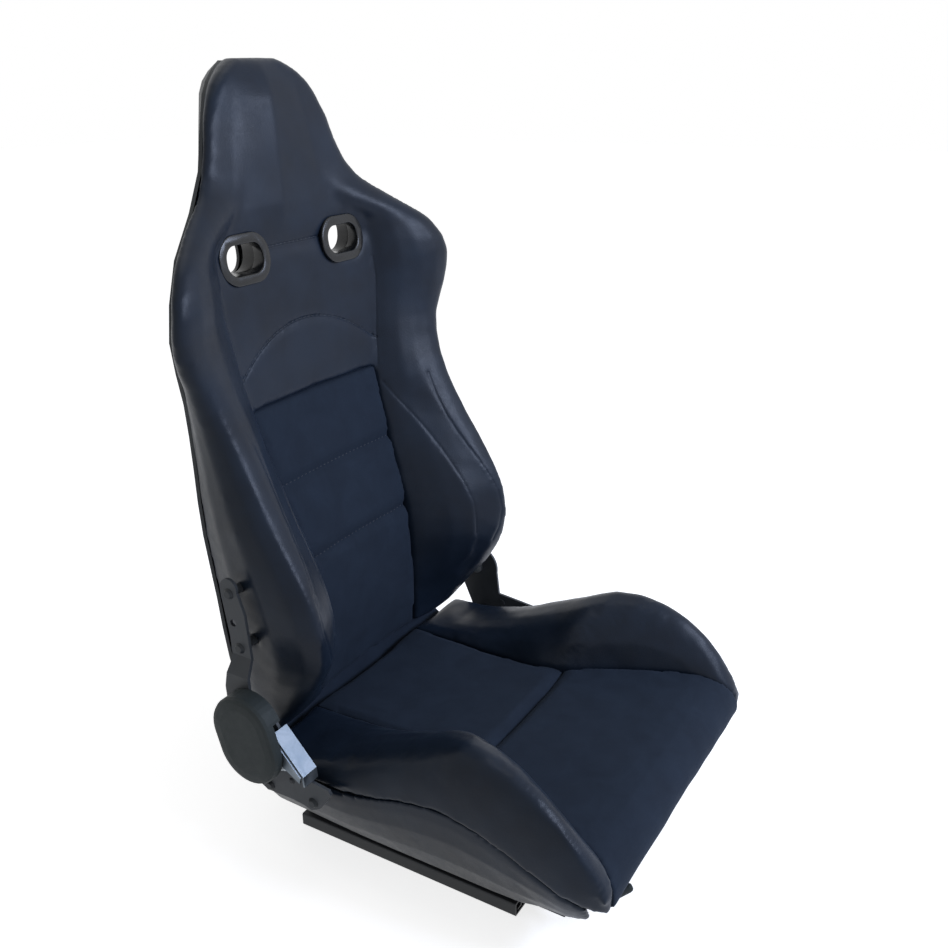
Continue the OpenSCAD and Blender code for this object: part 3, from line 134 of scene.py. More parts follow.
def leathercloth():
    """PVC-coated knit, calendered and embossed: a satin skin with a fine grain, dulled by handling"""
    mat, shader, place = surface("embossed_leathercloth", Roughness=0.36, Specular_IOR_Level=0.16)
    # embossed pebbles, drawn larger than life so that they show
    cells = add(mat, "TexVoronoi", {"feature": "SMOOTH_F1"}, {
        "Vector": place, "Scale": per_mm(1.5), "Smoothness": 0.6})
    fine = add(mat, "TexNoise", None, {
        "Vector": place, "Scale": per_mm(0.6), "Detail": 3.0, "Roughness": 0.6})
    clouds = add(mat, "TexNoise", None, {
        "Vector": place, "Scale": per_mm(70), "Detail": 3.0, "Roughness": 0.55})
    wear = add(mat, "TexNoise", None, {
        "Vector": place, "Scale": per_mm(14), "Detail": 5.0, "Roughness": 0.65})
    tone = remap(mat, clouds.outputs["Fac"], 0.35, 0.68, 0.0, 1.0)
    colour = mix(mat, rgb("#161e2a"), rgb("#1c2634"), tone)
    join(mat, colour, shader.inputs["Base Color"])
    rough = add(mat, "Math", {"operation": "ADD"}, {
        0: remap(mat, wear.outputs["Fac"], 0.3, 0.75, 0.3, 0.4),
        1: remap(mat, cells.outputs["Distance"], 0.0, 0.7, -0.03, 0.05)})
    join(mat, rough.outputs[0], shader.inputs["Roughness"])
    pebble = add(mat, "Bump", None, {
        "Height": cells.outputs["Distance"], "Strength": 0.22, "Distance": 0.35 * MM})
    skin = add(mat, "Bump", None, {
        "Height": fine.outputs["Fac"], "Strength": 0.12, "Distance": 0.2 * MM,
        "Normal": pebble.outputs["Normal"]})
    join(mat, skin.outputs["Normal"], shader.inputs["Normal"])
    return mat


def suede_cloth():
    """microfibre suede, sanded to a short pile: matt, with patches where the pile lies over"""
    mat, shader, place = surface("sanded_microfibre_suede", Roughness=0.8, Sheen_Weight=0.06,
                                 Sheen_Roughness=0.5, Sheen_Tint=rgb("#8495ad"), Specular_IOR_Level=0.12)
    pile = add(mat, "TexNoise", None, {
        "Vector": place, "Scale": per_mm(0.7), "Detail": 4.0, "Roughness": 0.7})
    brushed = add(mat, "TexNoise", None, {
        "Vector": place, "Scale": per_mm(38), "Detail": 4.0, "Roughness": 0.55, "Distortion": 0.6})
    low = mix(mat, rgb("#1c2430"), rgb("#212a37"), remap(mat, brushed.outputs["Fac"], 0.34, 0.7, 0.0, 1.0))
    colour = mix(mat, low, rgb("#29323f"), remap(mat, pile.outputs["Fac"], 0.45, 0.9, 0.0, 0.5))
    join(mat, colour, shader.inputs["Base Color"])
    bump = add(mat, "Bump", None, {"Height": pile.outputs["Fac"], "Strength": 0.35, "Distance": 0.4 * MM})
    join(mat, bump.outputs["Normal"], shader.inputs["Normal"])
    return mat


def webbing_cloth():
    """polyester webbing, woven in a close rib: rows of ribs across a band, slightly shiny"""
    mat, shader, place = surface("woven_webbing", Roughness=0.7, Sheen_Weight=0.1, Specular_IOR_Level=0.35)
    rib_mm = 1.1
    ribs = add(mat, "TexWave", {"bands_direction": "X"}, {
        "Vector": place, "Scale": 1 / (2 * math.pi * rib_mm * MM) * 2, "Distortion": 1.2, "Detail": 2.0})
    yarn = add(mat, "TexNoise", None, {"Vector": place, "Scale": per_mm(1.2), "Detail": 3.0})
    join(mat, mix(mat, rgb("#131417"), rgb("#26282c"), ribs.outputs["Fac"]), shader.inputs["Base Color"])
    weave = add(mat, "Bump", None, {"Height": ribs.outputs["Fac"], "Strength": 0.6, "Distance": 0.3 * MM})
    fibre = add(mat, "Bump", None, {
        "Height": yarn.outputs["Fac"], "Strength": 0.25, "Distance": 0.2 * MM,
        "Normal": weave.outputs["Normal"]})
    join(mat, fibre.outputs["Normal"], shader.inputs["Normal"])
    return mat


def thread():
    """bonded polyester sewing thread: hard, smooth, a little lighter than the cloth it holds"""
    mat, shader, place = surface("bonded_thread", Roughness=0.5)
    ply = add(mat, "TexNoise", None, {"Vector": place, "Scale": per_mm(0.4), "Detail": 2.0})
    join(mat, mix(mat, rgb("#1c2027"), rgb("#343a44"), ply.outputs["Fac"]), shader.inputs["Base Color"])
    bump = add(mat, "Bump", None, {"Height": ply.outputs["Fac"], "Strength": 0.4, "Distance": 0.1 * MM})
    join(mat, bump.outputs["Normal"], shader.inputs["Normal"])
    return mat


def painted_steel(name, dark, light, rough, peel_mm, edge_wear_and_highlight):
    """paint over steel: orange peel in the film, and sharp edges painted lighter, partly thin film rubbed
    through and partly a painted highlight along the edges
    """
    mat, shader, place = surface(name, Roughness=rough, Specular_IOR_Level=0.25)
    peel = add(mat, "TexNoise", None, {"Vector": place, "Scale": per_mm(peel_mm), "Detail": 2.0})
    dust = add(mat, "TexNoise", None, {
        "Vector": place, "Scale": per_mm(45), "Detail": 5.0, "Roughness": 0.65})
    point = add(mat, "NewGeometry").outputs["Pointiness"]
    body = mix(mat, rgb(dark), rgb(light), remap(mat, dust.outputs["Fac"], 0.35, 0.7, 0.0, 1.0))
    # convex edges go toward light grey: partly rubbed paint, partly a painted highlight where the edges
    # would catch the light
    edge = remap(mat, point, 0.53, 0.62, 0.0, edge_wear_and_highlight)
    join(mat, mix(mat, body, rgb("#6b6f74"), edge), shader.inputs["Base Color"])
    join(mat, remap(mat, dust.outputs["Fac"], 0.3, 0.7, rough - 0.06, rough + 0.1),
         shader.inputs["Roughness"])
    bump = add(mat, "Bump", None, {"Height": peel.outputs["Fac"], "Strength": 0.2, "Distance": 0.15 * MM})
    join(mat, bump.outputs["Normal"], shader.inputs["Normal"])
    return mat


def plated_steel(name, low, high, rough, grain_mm, patch_mm):
    """plating over pressed steel: faint draw lines from the press and cloudy passivation"""
    mat, shader, place = surface(name, Metallic=1.0, Roughness=rough)
    stretch = add(mat, "Mapping", None, {"Vector": place, "Scale": (1.0, 1.0, 7.0)})
    lines = add(mat, "TexNoise", None, {
        "Vector": stretch.outputs["Vector"], "Scale": per_mm(grain_mm), "Detail": 4.0, "Roughness": 0.6})
    cloud = add(mat, "TexNoise", None, {
        "Vector": place, "Scale": per_mm(patch_mm), "Detail": 4.0, "Distortion": 0.8})
    join(mat, mix(mat, rgb(low), rgb(high), remap(mat, cloud.outputs["Fac"], 0.33, 0.66, 0.0, 1.0)),
         shader.inputs["Base Color"])
    both = add(mat, "Math", {"operation": "ADD"}, {
        0: remap(mat, lines.outputs["Fac"], 0.3, 0.7, rough - 0.07, rough + 0.05),
        1: remap(mat, cloud.outputs["Fac"], 0.3, 0.7, -0.03, 0.06)})
    join(mat, both.outputs[0], shader.inputs["Roughness"])
    bump = add(mat, "Bump", None, {"Height": lines.outputs["Fac"], "Strength": 0.12, "Distance": 0.1 * MM})
    join(mat, bump.outputs["Normal"], shader.inputs["Normal"])
    return mat


def moulded_plastic(name, low, high, rough, grain_mm, depth, specular=0.5):
    """injection moulding: colour is even, and the tool's texture breaks up the shine"""
    mat, shader, place = surface(name, Roughness=rough, Specular_IOR_Level=specular)
    spark = add(mat, "TexVoronoi", {"feature": "SMOOTH_F1"}, {
        "Vector": place, "Scale": per_mm(grain_mm), "Smoothness": 0.8})
    flow = add(mat, "TexNoise", None, {"Vector": place, "Scale": per_mm(60), "Detail": 3.0})
    scuff = add(mat, "TexNoise", None, {
        "Vector": place, "Scale": per_mm(9), "Detail": 6.0, "Roughness": 0.7})
    join(mat, mix(mat, rgb(low), rgb(high), remap(mat, flow.outputs["Fac"], 0.35, 0.65, 0.0, 1.0)),
         shader.inputs["Base Color"])
    join(mat, remap(mat, scuff.outputs["Fac"], 0.3, 0.72, max(rough - 0.06, 0.04), rough + 0.07),
         shader.inputs["Roughness"])
    bump = add(mat, "Bump", None, {
        "Height": spark.outputs["Distance"], "Strength": depth, "Distance": 0.25 * MM})
    join(mat, bump.outputs["Normal"], shader.inputs["Normal"])
    return mat


FINISH = {
    "leathercloth": leathercloth(),
    "suede_cloth": suede_cloth(),
    "webbing_cloth": webbing_cloth(),
    "thread": thread(),
    "frame_paint": painted_steel("powder_coated_steel", "#17181a", "#1f2124", 0.42, 1.1, 0.25),
    "bracket_paint": painted_steel("dip_painted_steel", "#1b1f23", "#262b30", 0.46, 2.2, 0.3),
    "zinc_steel": plated_steel("zinc_plated_steel", "#8b9196", "#b4babf", 0.34, 1.2, 16),
    "lever_zinc": plated_steel("blue_zinc_steel", "#5a6269", "#767d84", 0.45, 1.4, 22),
    "spring_steel": plated_steel("oiled_spring_steel", "#3c3d40", "#56585c", 0.38, 0.9, 12),
    "cover_plastic": moulded_plastic("spark_textured_plastic", "#262c2d", "#2d3334", 0.6, 0.9, 0.35, 0.22),
    "bezel_plastic": moulded_plastic("gloss_moulded_plastic", "#0f1114", "#16191d", 0.24, 1.4, 0.03, 0.4),
    "shell_plastic": moulded_plastic("grained_shell_plastic", "#23272b", "#2a2e31", 0.5, 1.3, 0.45, 0.3),
    "nylon": moulded_plastic("natural_nylon", "#b9b4a2", "#cbc6b4", 0.5, 1.2, 0.1),
}
for part in frame["record"]["subparts"]:
    for place in NODES[part["node"]].material_slots:
        place.material = FINISH[part["material_slot"]]

# ---------------------------------------------------------------- mesh helpers


def new_object(name, mesh):
    piece = bpy.data.objects.new(name, mesh)
    bpy.context.scene.collection.objects.link(piece)
    return piece


def points_of(mesh):
    flat = np.empty(len(mesh.vertices) * 3, np.float32)
    mesh.vertices.foreach_get("co", flat)
    return flat.reshape(-1, 3).astype(float)


def normals_of(mesh):
    flat = np.empty(len(mesh.vertices) * 3, np.float32)
    mesh.vertex_normals.foreach_get("vector", flat)
    return flat.reshape(-1, 3).astype(float)


def put_points(mesh, points):
    mesh.vertices.foreach_set("co", points.astype(np.float32).ravel())
    mesh.update()


def baked(piece):
    """applies the piece's modifiers to its mesh"""
    graph = bpy.context.evaluated_depsgraph_get()
    made = bpy.data.meshes.new_from_object(piece.evaluated_get(graph))
    piece.modifiers.clear()
    old = piece.data
    piece.data = made
    bpy.data.meshes.remove(old)


def smooth(mesh):
    mesh.polygons.foreach_set("use_smooth", [True] * len(mesh.polygons))
    mesh.update()


def merged_copy(name, *nodes, grow=0.0):
    """the nodes' meshes as one new piece, with its doubles merged and each part grown a little"""
    shape = bmesh.new()
    for node in nodes:
        shape.from_mesh(NODES[node].data)
    bmesh.ops.remove_doubles(shape, verts=shape.verts, dist=0.01 * MM)
    if grow:
        shape.normal_update()
        for v, out in [(v, v.normal.copy()) for v in shape.verts]:
            v.co += out * grow * MM
    mesh = bpy.data.meshes.new(name)
    shape.to_mesh(mesh)
    shape.free()
    return new_object(name, mesh)


def relax(mesh, rounds, factor=0.5):
    """rounds the mesh off a little, without a change to its grid"""
    shape = bmesh.new()
    shape.from_mesh(mesh)
    for _ in range(rounds):
        bmesh.ops.smooth_vert(shape, verts=shape.verts, factor=factor, use_axis_x=True, use_axis_y=True,
                              use_axis_z=True)
    shape.to_mesh(mesh)
    shape.free()
    mesh.update()


SWELL_FRAMES = 12
# springs of a coated cloth, stiff enough to keep its cut
CLOTH_SPRINGS = {"tension_stiffness": 20, "compression_stiffness": 20, "shear_stiffness": 12,
                 "bending_stiffness": 1.2}


def inflate(piece, pressure, cap):
    """lets the cover swell as foam pushes it out, and caps how far each point may go"""
    start = points_of(piece.data)
    cloth = piece.modifiers.new("swell", "CLOTH")
    cloth.settings.use_pressure = True
    cloth.settings.uniform_pressure_force = pressure
    for key, value in CLOTH_SPRINGS.items():
        setattr(cloth.settings, key, value)
    cloth.settings.effector_weights.gravity = 0
    cloth.point_cache.frame_start = 1
    cloth.point_cache.frame_end = SWELL_FRAMES
    for now in range(1, SWELL_FRAMES + 1):
        bpy.context.scene.frame_set(now)
    graph = bpy.context.evaluated_depsgraph_get()
    swollen = piece.evaluated_get(graph)
    moved = np.array([v.co for v in swollen.data.vertices], float)
    piece.modifiers.clear()
    bpy.context.scene.frame_set(1)
    step = moved - start
    length = np.linalg.norm(step, axis=1, keepdims=True)
    put_points(piece.data, start + step * np.minimum(1, cap / np.maximum(length, 1e-9)))


def mirrored(piece, name):
    shape = bmesh.new()
    shape.from_mesh(piece.data)
    bmesh.ops.scale(shape, vec=(-1, 1, 1), verts=shape.verts)
    bmesh.ops.reverse_faces(shape, faces=shape.faces)
    mesh = bpy.data.meshes.new(name)
    shape.to_mesh(mesh)
    shape.free()
    smooth(mesh)
    for mat in piece.data.materials:
        mesh.materials.append(mat)
    return new_object(name, mesh)


def press(piece, line, depth, width, pucker=0.0, pitch=8.0):
    """presses a sewn groove into a cover, with small puckers between the stitches"""
    mesh = piece.data
    points, normals = points_of(mesh), normals_of(mesh)
    dense, runs = [], []
    run = 0.0
    for a, b in zip(line[:-1], line[1:]):
        gap = (b - a).length
        count = max(2, int(gap / (1.5 * MM)))
        for i in range(count):
            dense.append(a.lerp(b, i / count))
            runs.append(run + gap * i / count)
        run += gap
    tree = KDTree(len(dense))
    for i, p in enumerate(dense):
        tree.insert(p, i)
    tree.balance()
    reach = width * 3 * MM
    low = np.min([p[:] for p in dense], axis=0) - reach
    high = np.max([p[:] for p in dense], axis=0) + reach
    near = np.flatnonzero(np.all((points > low) & (points < high), axis=1))
    for k in near:
        _, i, far = tree.find(Vector(points[k]))
        if far < reach:
            wave = 1 + pucker * math.sin(2 * math.pi * runs[i] / (pitch * MM))
            points[k] -= normals[k] * depth * MM * wave * math.exp(-(far / (width * MM)) ** 2)
    put_points(mesh, points)


# ---------------------------------------------------------------- camera, light and floor

CAMERA_AT = Vector((-1.02748, -0.61153, 0.92915))
CAMERA_RIGHT = Vector((0.51246733, -0.85864088, -0.01063366))
CAMERA_UP = Vector((0.31765079, 0.17805126, 0.93134082))
SENSOR, LENS = 36.0, 39.4
AMBIENT = 0.3             # the world's light on the object
FLOOR_GLOW = 0.74         # what the camera adds to the lit floor, up to white
FLOOR_HALF = 12           # metres, so that no edge of the floor shows


def make_camera():
    data = bpy.data.cameras.new("camera")
    data.sensor_width = SENSOR
    data.lens = LENS
    data.clip_start, data.clip_end = 0.01, 50
    camera = new_object("camera", data)
    back = CAMERA_RIGHT.cross(CAMERA_UP)
    turn = Matrix((CAMERA_RIGHT, CAMERA_UP, back)).transposed().to_4x4()
    camera.matrix_world = Matrix.Translation(CAMERA_AT) @ turn
    bpy.context.scene.camera = camera


def make_world():
    """a white surrounding to look at, and a lower light on the object itself"""
    world = bpy.data.worlds.new("studio")
    bpy.context.scene.world = world
    world.use_nodes = True
    world.node_tree.nodes.clear()
    path = add(world, "LightPath")
    seen = add(world, "Math", {"operation": "MAXIMUM"}, {
        0: path.outputs["Is Camera Ray"], 1: path.outputs["Is Transmission Ray"]})
    shown = add(world, "Math", {"operation": "MAXIMUM"}, {
        0: seen.outputs[0], 1: path.outputs["Is Glossy Ray"]})
    strength = remap(world, shown.outputs[0], 0, 1, AMBIENT, 1.0)
    back = add(world, "Background", None, {"Color": (1, 1, 1, 1), "Strength": strength})
    add(world, "OutputWorld", None, {"Surface": back.outputs[0]})


def make_lamp(name, at, to, size, power, colour="#ffffff"):
    data = bpy.data.lights.new(name, "AREA")
    data.shape = "RECTANGLE"
    data.size, data.size_y = size
    data.energy = power
    data.color = rgb(colour)[:3]
    lamp = new_object(name, data)
    aim = (Vector(to) - Vector(at)).to_track_quat("-Z", "Y")
    lamp.matrix_world = Matrix.Translation(at) @ aim.to_matrix().to_4x4()


def make_floor():
    shape = bmesh.new()
    bmesh.ops.create_grid(shape, x_segments=1, y_segments=1, size=FLOOR_HALF)
    mesh = bpy.data.meshes.new("floor")
    shape.to_mesh(mesh)
    shape.free()
    floor = new_object("floor", mesh)
    mat = bpy.data.materials.new("pale_floor")
    mat.use_nodes = True
    shader = mat.node_tree.nodes["Principled BSDF"]
    shader.inputs["Base Color"].default_value = rgb("#f4f4f4")
    shader.inputs["Roughness"].default_value = 0.9
    shader.inputs["Specular IOR Level"].default_value = 0.1
    path = add(mat, "LightPath")
    shown = add(mat, "Math", {"operation": "MAXIMUM"}, {
        0: path.outputs["Is Camera Ray"], 1: path.outputs["Is Glossy Ray"]})
    glow = remap(mat, shown.outputs[0], 0, 1, 0.0, FLOOR_GLOW)
    shader.inputs["Emission Color"].default_value = (1, 1, 1, 1)
    join(mat, glow, shader.inputs["Emission Strength"])
    mesh.materials.append(mat)
    floor.location.z = cad_box[0].z - 0.5 * MM


make_camera()
make_world()
make_floor()
make_lamp("front_window", (0.62, -1.6, 1.35), (0, 0.15, 0.65), (1.4, 0.4), 34, "#d3e1ff")
make_lamp("overhead", (0.3, 0.1, 2.7), (0, 0.1, 0.4), (1.4, 1.4), 6)

# ---------------------------------------------------------------- padded covers

SEAT, BACK = "seat_base", "backrest"
SEAM_CLOSE = 1.3          # half the gap between two pads, in millimetres


def padded_cover(name, nodes, finish, voxel, soften, pressure, cap, proud, shape_it=None):
    """a sewn cover over foam: remeshed evenly, swollen, shaped and, if it is one pad's, made finer

    A cover of several pads is one cloth, so each pad is grown until the gaps between them close.
    """
    joined = len(nodes) > 1
    piece = merged_copy(name, *nodes, grow=SEAM_CLOSE if joined else 0.0)
    grid = piece.modifiers.new("grid", "REMESH")
    grid.mode = "VOXEL"
    grid.voxel_size = voxel * MM
    baked(piece)
    relax(piece.data, soften)
    if pressure:
        inflate(piece, pressure, cap * MM)
    put_points(piece.data, points_of(piece.data) + normals_of(piece.data) * proud * MM)
    if shape_it:
        shape_it(piece)
    if not joined:
        finer = piece.modifiers.new("finer", "SUBSURF")
        finer.levels = finer.render_levels = 1
        baked(piece)
    smooth(piece.data)
    piece.data.materials.clear()
    piece.data.materials.append(FINISH[finish])
    return piece


def uneven(piece, height, seed):
    """foam and hide are never quite even: broad, low swells along the normals"""
    points, normals = points_of(piece.data), normals_of(piece.data)
    swell = np.zeros(len(points))
    for k in range(5):
        way = [math.sin(seed + 2.1 * k), math.cos(1.7 * seed + k), math.sin(0.7 * seed + 3 * k)]
        pace = np.array(way) * (40 + 26 * k)      # each wave is shorter and lower than the last
        swell += np.sin(points @ pace + seed * (k + 1)) / (1 + 0.5 * k)
    put_points(piece.data, points + normals * (height * MM * swell / 2.4)[:, None])


def crest_band(piece, side):
    """draws the cloth flat between the two sewn edges of the bolster's crest"""
    points = points_of(piece.data)
    inner = along(CREST_INNER, CREST_STEPS, side)
    outer = along(CREST_OUTER, CREST_STEPS, side)
    shares = np.linspace(0, 1, CREST_SHARES)
    tree = KDTree(CREST_STEPS * CREST_SHARES)
    for i in range(CREST_STEPS):
        for j, share in enumerate(shares):
            tree.insert(inner[i].lerp(outer[i], share), i * CREST_SHARES + j)
    tree.balance()
    low, high = box_of(CREST_INNER + CREST_OUTER, side, 12 * MM)
    for k in np.flatnonzero(np.all((points > low) & (points < high), axis=1)):
        spot, index, far = tree.find(Vector(points[k]))
        i, j = divmod(index, CREST_SHARES)
        if far < CREST_REACH * MM and 0 < j < CREST_SHARES - 1:
            fade = min(1, i / 16, (CREST_STEPS - 1 - i) / 12)
            points[k] += (np.array(spot[:]) - points[k]) * CREST_PULL * fade
    put_points(piece.data, points)


def head_ridge(piece):
    """the head cover is sewn from two halves that meet in a low ridge down its front"""
    points, normals = points_of(piece.data), normals_of(piece.data)
    x, z = points[:, 0], points[:, 2]
    middle = np.interp(z, [0.75, 0.80, 0.93], [-0.016, -0.010, -0.002])
    half = np.interp(z, [0.74, 0.78, 0.93], [0.110, 0.088, 0.052])
    rise = np.interp(z, [0.735, 0.775, 0.90, 0.94], [0.0, 1.0, 1.0, 0.2])
    tent = np.clip(1 - np.abs(x - middle) / half, 0, 1) * rise * np.clip(-normals[:, 1] * 2 - 0.6, 0, 1)
    points[:, 1] -= HEAD_RISE * MM * tent
    put_points(piece.data, points)


def back_shapes(piece):
    crest_band(piece, -1)
    crest_band(piece, 1)
    relax(piece.data, 3)
    head_ridge(piece)


def along(route, count, side=1):
    """evenly spaced points on a route given in millimetres for the left side"""
    spots = [Vector((x * side, y, z)) * MM for x, y, z in route]
    runs = [0.0]
    for a, b in zip(spots[:-1], spots[1:]):
        runs.append(runs[-1] + (b - a).length)
    where = np.linspace(0, runs[-1], count)
    flat = np.array([s[:] for s in spots])
    return [Vector(p) for p in np.stack([np.interp(where, runs, flat[:, k]) for k in range(3)], axis=1)]


def box_of(route, side, room):
    spots = np.array([(x * side, y, z) for x, y, z in route]) * MM
    return spots.min(axis=0) - room, spots.max(axis=0) + room


# sewn edges of the backrest bolster's crest, for the left side, in millimetres
CREST_INNER = [
    (129, 237, 515), (135, 223, 496), (141, 209, 481), (148, 192, 461), (155, 175, 439), (160, 160, 418),
    (163, 146, 398), (166, 133, 379), (168, 121, 359), (170, 112, 339), (169, 108, 320), (168, 107, 288),
    (163, 116, 255), (156, 128, 240), (148, 137, 231)]
CREST_OUTER = [
    (183, 193, 520), (182, 178, 490), (185, 164, 459), (189, 149, 436), (194, 133, 412), (200, 117, 391),
    (206, 104, 369), (210, 94, 349), (211, 86, 318), (203, 86, 292), (193, 92, 270), (181, 107, 250),
    (178, 122, 225), (176, 138, 206)]
CREST_STEPS, CREST_SHARES = 160, 15     # rows along the crest, and points across it
CREST_REACH = 11                        # how far off the band the cloth is still drawn in, in millimetres
CREST_PULL = 0.85                       # how flat it is drawn
HEAD_RISE = 7.0                         # height of the head cover's ridge, in millimetres

# cover, its nodes, body, finish, voxel, soften, pressure, cap, proud, fill, height of its unevenness
SINGLE = [
    ("cushion_centre", ["cushion_pad"], SEAT, "suede_cloth", 3.2, 1, 3, 2.0, 0.9, 0.7, 0.7),
    ("thigh_support", ["thigh_pad"], SEAT, "suede_cloth", 3.2, 1, 3, 2.0, 0.9, 0.75, 0.7),
    ("lumbar_insert", ["lumbar_pad"], BACK, "suede_cloth", 3.2, 1, 3, 2.0, 0.9, 0.7, 0.6),
    ("back_cover",
     ["headrest_pad", "upper_back_pad", "arch_pad", "shoulder_wing_right", "shoulder_wing_left",
      "back_bolster_right", "back_bolster_left"],
     BACK, "leathercloth", 4.0, 2, 0, 0, 0.0, 0.85, 0.5),
]
PAIRS = [
    ("cushion_side", "cushion_bolster", SEAT, "leathercloth", 3.8, 2, 3, 2.0, 1.0, 0.8, 0.8),
    ("skirt_cover", "side_skirt", SEAT, "leathercloth", 3.0, 1, 0, 0, 0.4, 0.9, 0.0),
]
SHAPES = {"back_cover": back_shapes}
covers = {}


def dress(piece, nodes, body):
    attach(piece, body)
    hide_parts(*nodes)


for seed, (name, nodes, body, finish, *make, fill, rough) in enumerate(SINGLE):
    covers[name] = padded_cover(name, nodes, finish, *make, SHAPES.get(name))
    uneven(covers[name], rough, seed + 1)
    dress(covers[name], nodes, body)
for seed, (name, node, body, finish, *make, fill, rough) in enumerate(PAIRS):
    right = padded_cover(f"{name}_{RIGHT}", [f"{node}_{RIGHT}"], finish, *make)
    uneven(right, rough, seed + 11)
    left = mirrored(right, f"{name}_{LEFT}")
    for side, piece in ((RIGHT, right), (LEFT, left)):
        dress(piece, [f"{node}_{side}"], body)

# ---------------------------------------------------------------- sewn seams and channels

FORWARD = Vector((0, 1, 0))


def refined(piece, routes, reach=5.0, times=2):
    """splits the mesh near the routes, so that a narrow seam can be pressed in"""
    shape = bmesh.new()
    shape.from_mesh(piece.data)
    spots = [spot for route in routes for spot in route]
    tree = KDTree(len(spots))
    for i, spot in enumerate(spots):
        tree.insert(spot, i)
    tree.balance()
    for _ in range(times):
        near = {v for v in shape.verts if tree.find(v.co)[2] < reach * MM}
        edges = [e for e in shape.edges if e.verts[0] in near and e.verts[1] in near]
        bmesh.ops.subdivide_edges(shape, edges=edges, cuts=1, use_grid_fill=True)
    shape.to_mesh(piece.data)
    shape.free()
    smooth(piece.data)


def laid(piece, plan, step=2.0):
    """drops a route of (x, y, z) millimetres onto a cover from the front: points and outward normals"""
    mesh = piece.data
    tree = BVHTree.FromPolygons([v.co for v in mesh.vertices], [p.vertices for p in mesh.polygons])
    spots, outs = [], []
    for a, b in zip(plan[:-1], plan[1:]):
        a, b = Vector(a) * MM, Vector(b) * MM
        count = max(1, round((b - a).length / (step * MM)))
        for i in range(count):
            start = a.lerp(b, i / count)
            spot, out, _, _ = tree.ray_cast(start - FORWARD * 0.5, FORWARD)
            if spot is not None:
                spots.append(spot)
                outs.append(out)
    return spots, outs


def stitch_row(shape, spots, outs, pitch, length, thick, lift=0.0):
    """lays one thread stitch after another along a seam"""
    run, due = 0.0, 0.0
    for a, b, out in zip(spots[:-1], spots[1:], outs):
        run += (b - a).length
        if run < due:
            continue
        due = run + pitch * MM
        ahead = (b - a).normalized()
        across = out.cross(ahead).normalized()
        up = ahead.cross(across)
        turn = Matrix((ahead, across, up)).transposed().to_4x4()
        size = Matrix.Diagonal((length / 2 * MM, thick / 2 * MM, thick / 2 * MM, 1))
        place = Matrix.Translation(a + out * lift * MM) @ turn @ size
        bmesh.ops.create_uvsphere(shape, u_segments=6, v_segments=4, radius=1.0, matrix=place)


def finished(name, shape, finish, body, nodes=(), soft=True):
    """turns a bmesh into a piece that rides on a body"""
    mesh = bpy.data.meshes.new(name)
    shape.to_mesh(mesh)
    shape.free()
    if soft:
        smooth(mesh)
    mesh.materials.append(FINISH[finish])
    piece = new_object(name, mesh)
    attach(piece, body)
    if nodes:
        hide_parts(*nodes)
    return piece


PITCH = 8                 # from one stitch to the next, in millimetres
THREAD = 0.8              # the thread's thickness
back_thread = bmesh.new()

# two quilted channels across the lumbar insert
for height, half in ((340, 112), (440, 118)):
    spots, outs = laid(covers["lumbar_insert"], [(-half, 0, height), (half, 0, height)])
    press(covers["lumbar_insert"], spots, 1.1, 1.6, 0.25, PITCH)
    stitch_row(back_thread, spots, outs, PITCH, 4.6, THREAD, -0.9)

# seams over the back cover, in millimetres; the crest's are pressed only above its lower end
LOWEST_CREST = 262
PANEL_EDGE = [(129, 0, 540), (140, 0, 600), (150, 0, 660), (150, 0, 690)]
ARCH_SEAM = [(x, 0, 630 - 56 * (x / 140) ** 2) for x in range(-138, 139, 6)]
SLOT_SEAM = [(-60, 0, 727), (60, 0, 727)]
crests = [[spot for spot in route if spot[2] > LOWEST_CREST] for route in (CREST_INNER, CREST_OUTER)]
# route, depth, width, pucker, with stitches
plans = [(ARCH_SEAM, 1.5, 1.4, 0.2, True), (SLOT_SEAM, 1.5, 1.4, 0.2, True)]
for sign in (-1, 1):
    for route, width in ((crests[0], 2.8), (crests[1], 2.8), (PANEL_EDGE, 2.2)):
        plans.append(([(x * sign, y, z) for x, y, z in route], 0.9, width, 0.0, False))
cover = covers["back_cover"]
seams = [(laid(cover, route), *pressed) for route, *pressed in plans]
refined(cover, [spots for (spots, _), *_ in seams])
for (spots, outs), depth, width, pucker, sewn in seams:
    press(cover, spots, depth, width, pucker, PITCH)
    if sewn:
        stitch_row(back_thread, spots, outs, PITCH, 4.4, THREAD, 0.1 - depth)
finished("back_stitching", back_thread, "thread", BACK)

# ---------------------------------------------------------------- moulded edges


def eased_copy(name, node, body, slot, width, angle=35):
    """a rigid node's copy with its moulded edges rounded over"""
    piece = merged_copy(name, node)
    shape = bmesh.new()
    shape.from_mesh(piece.data)
    bmesh.ops.dissolve_limit(shape, angle_limit=math.radians(0.5), verts=shape.verts, edges=shape.edges)
    shape.to_mesh(piece.data)
    shape.free()
    ease = piece.modifiers.new("ease", "BEVEL")
    ease.width = width * MM
    ease.segments = 3
    ease.limit_method = "ANGLE"
    ease.angle_limit = math.radians(angle)
    baked(piece)
    smooth(piece.data)
    piece.data.materials.clear()
    piece.data.materials.append(FINISH[slot])
    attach(piece, body)
    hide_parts(node)


eased_copy("rear_shell", "rear_panel", BACK, "shell_plastic", 0.6, 40)
for side in (RIGHT, LEFT):
    eased_copy(f"slot_ring_{side}", f"harness_bezel_{side}", BACK, "bezel_plastic", 2.0)
    eased_copy(f"rear_slot_ring_{side}", f"rear_bezel_{side}", BACK, "bezel_plastic", 1.2)

# ---------------------------------------------------------------- cloth behind the seat crease


# across the crease, from inside the cushion to inside the backrest: (y, z) in millimetres
CREASE_PATH = [(160, 112), (176, 113), (188, 113), (198, 116), (207, 122), (214, 131), (219, 141),
               (222, 152), (224, 163), (226, 176)]
CREASE_HALF = 205         # half its width
CLOTH_THICK = 1.6


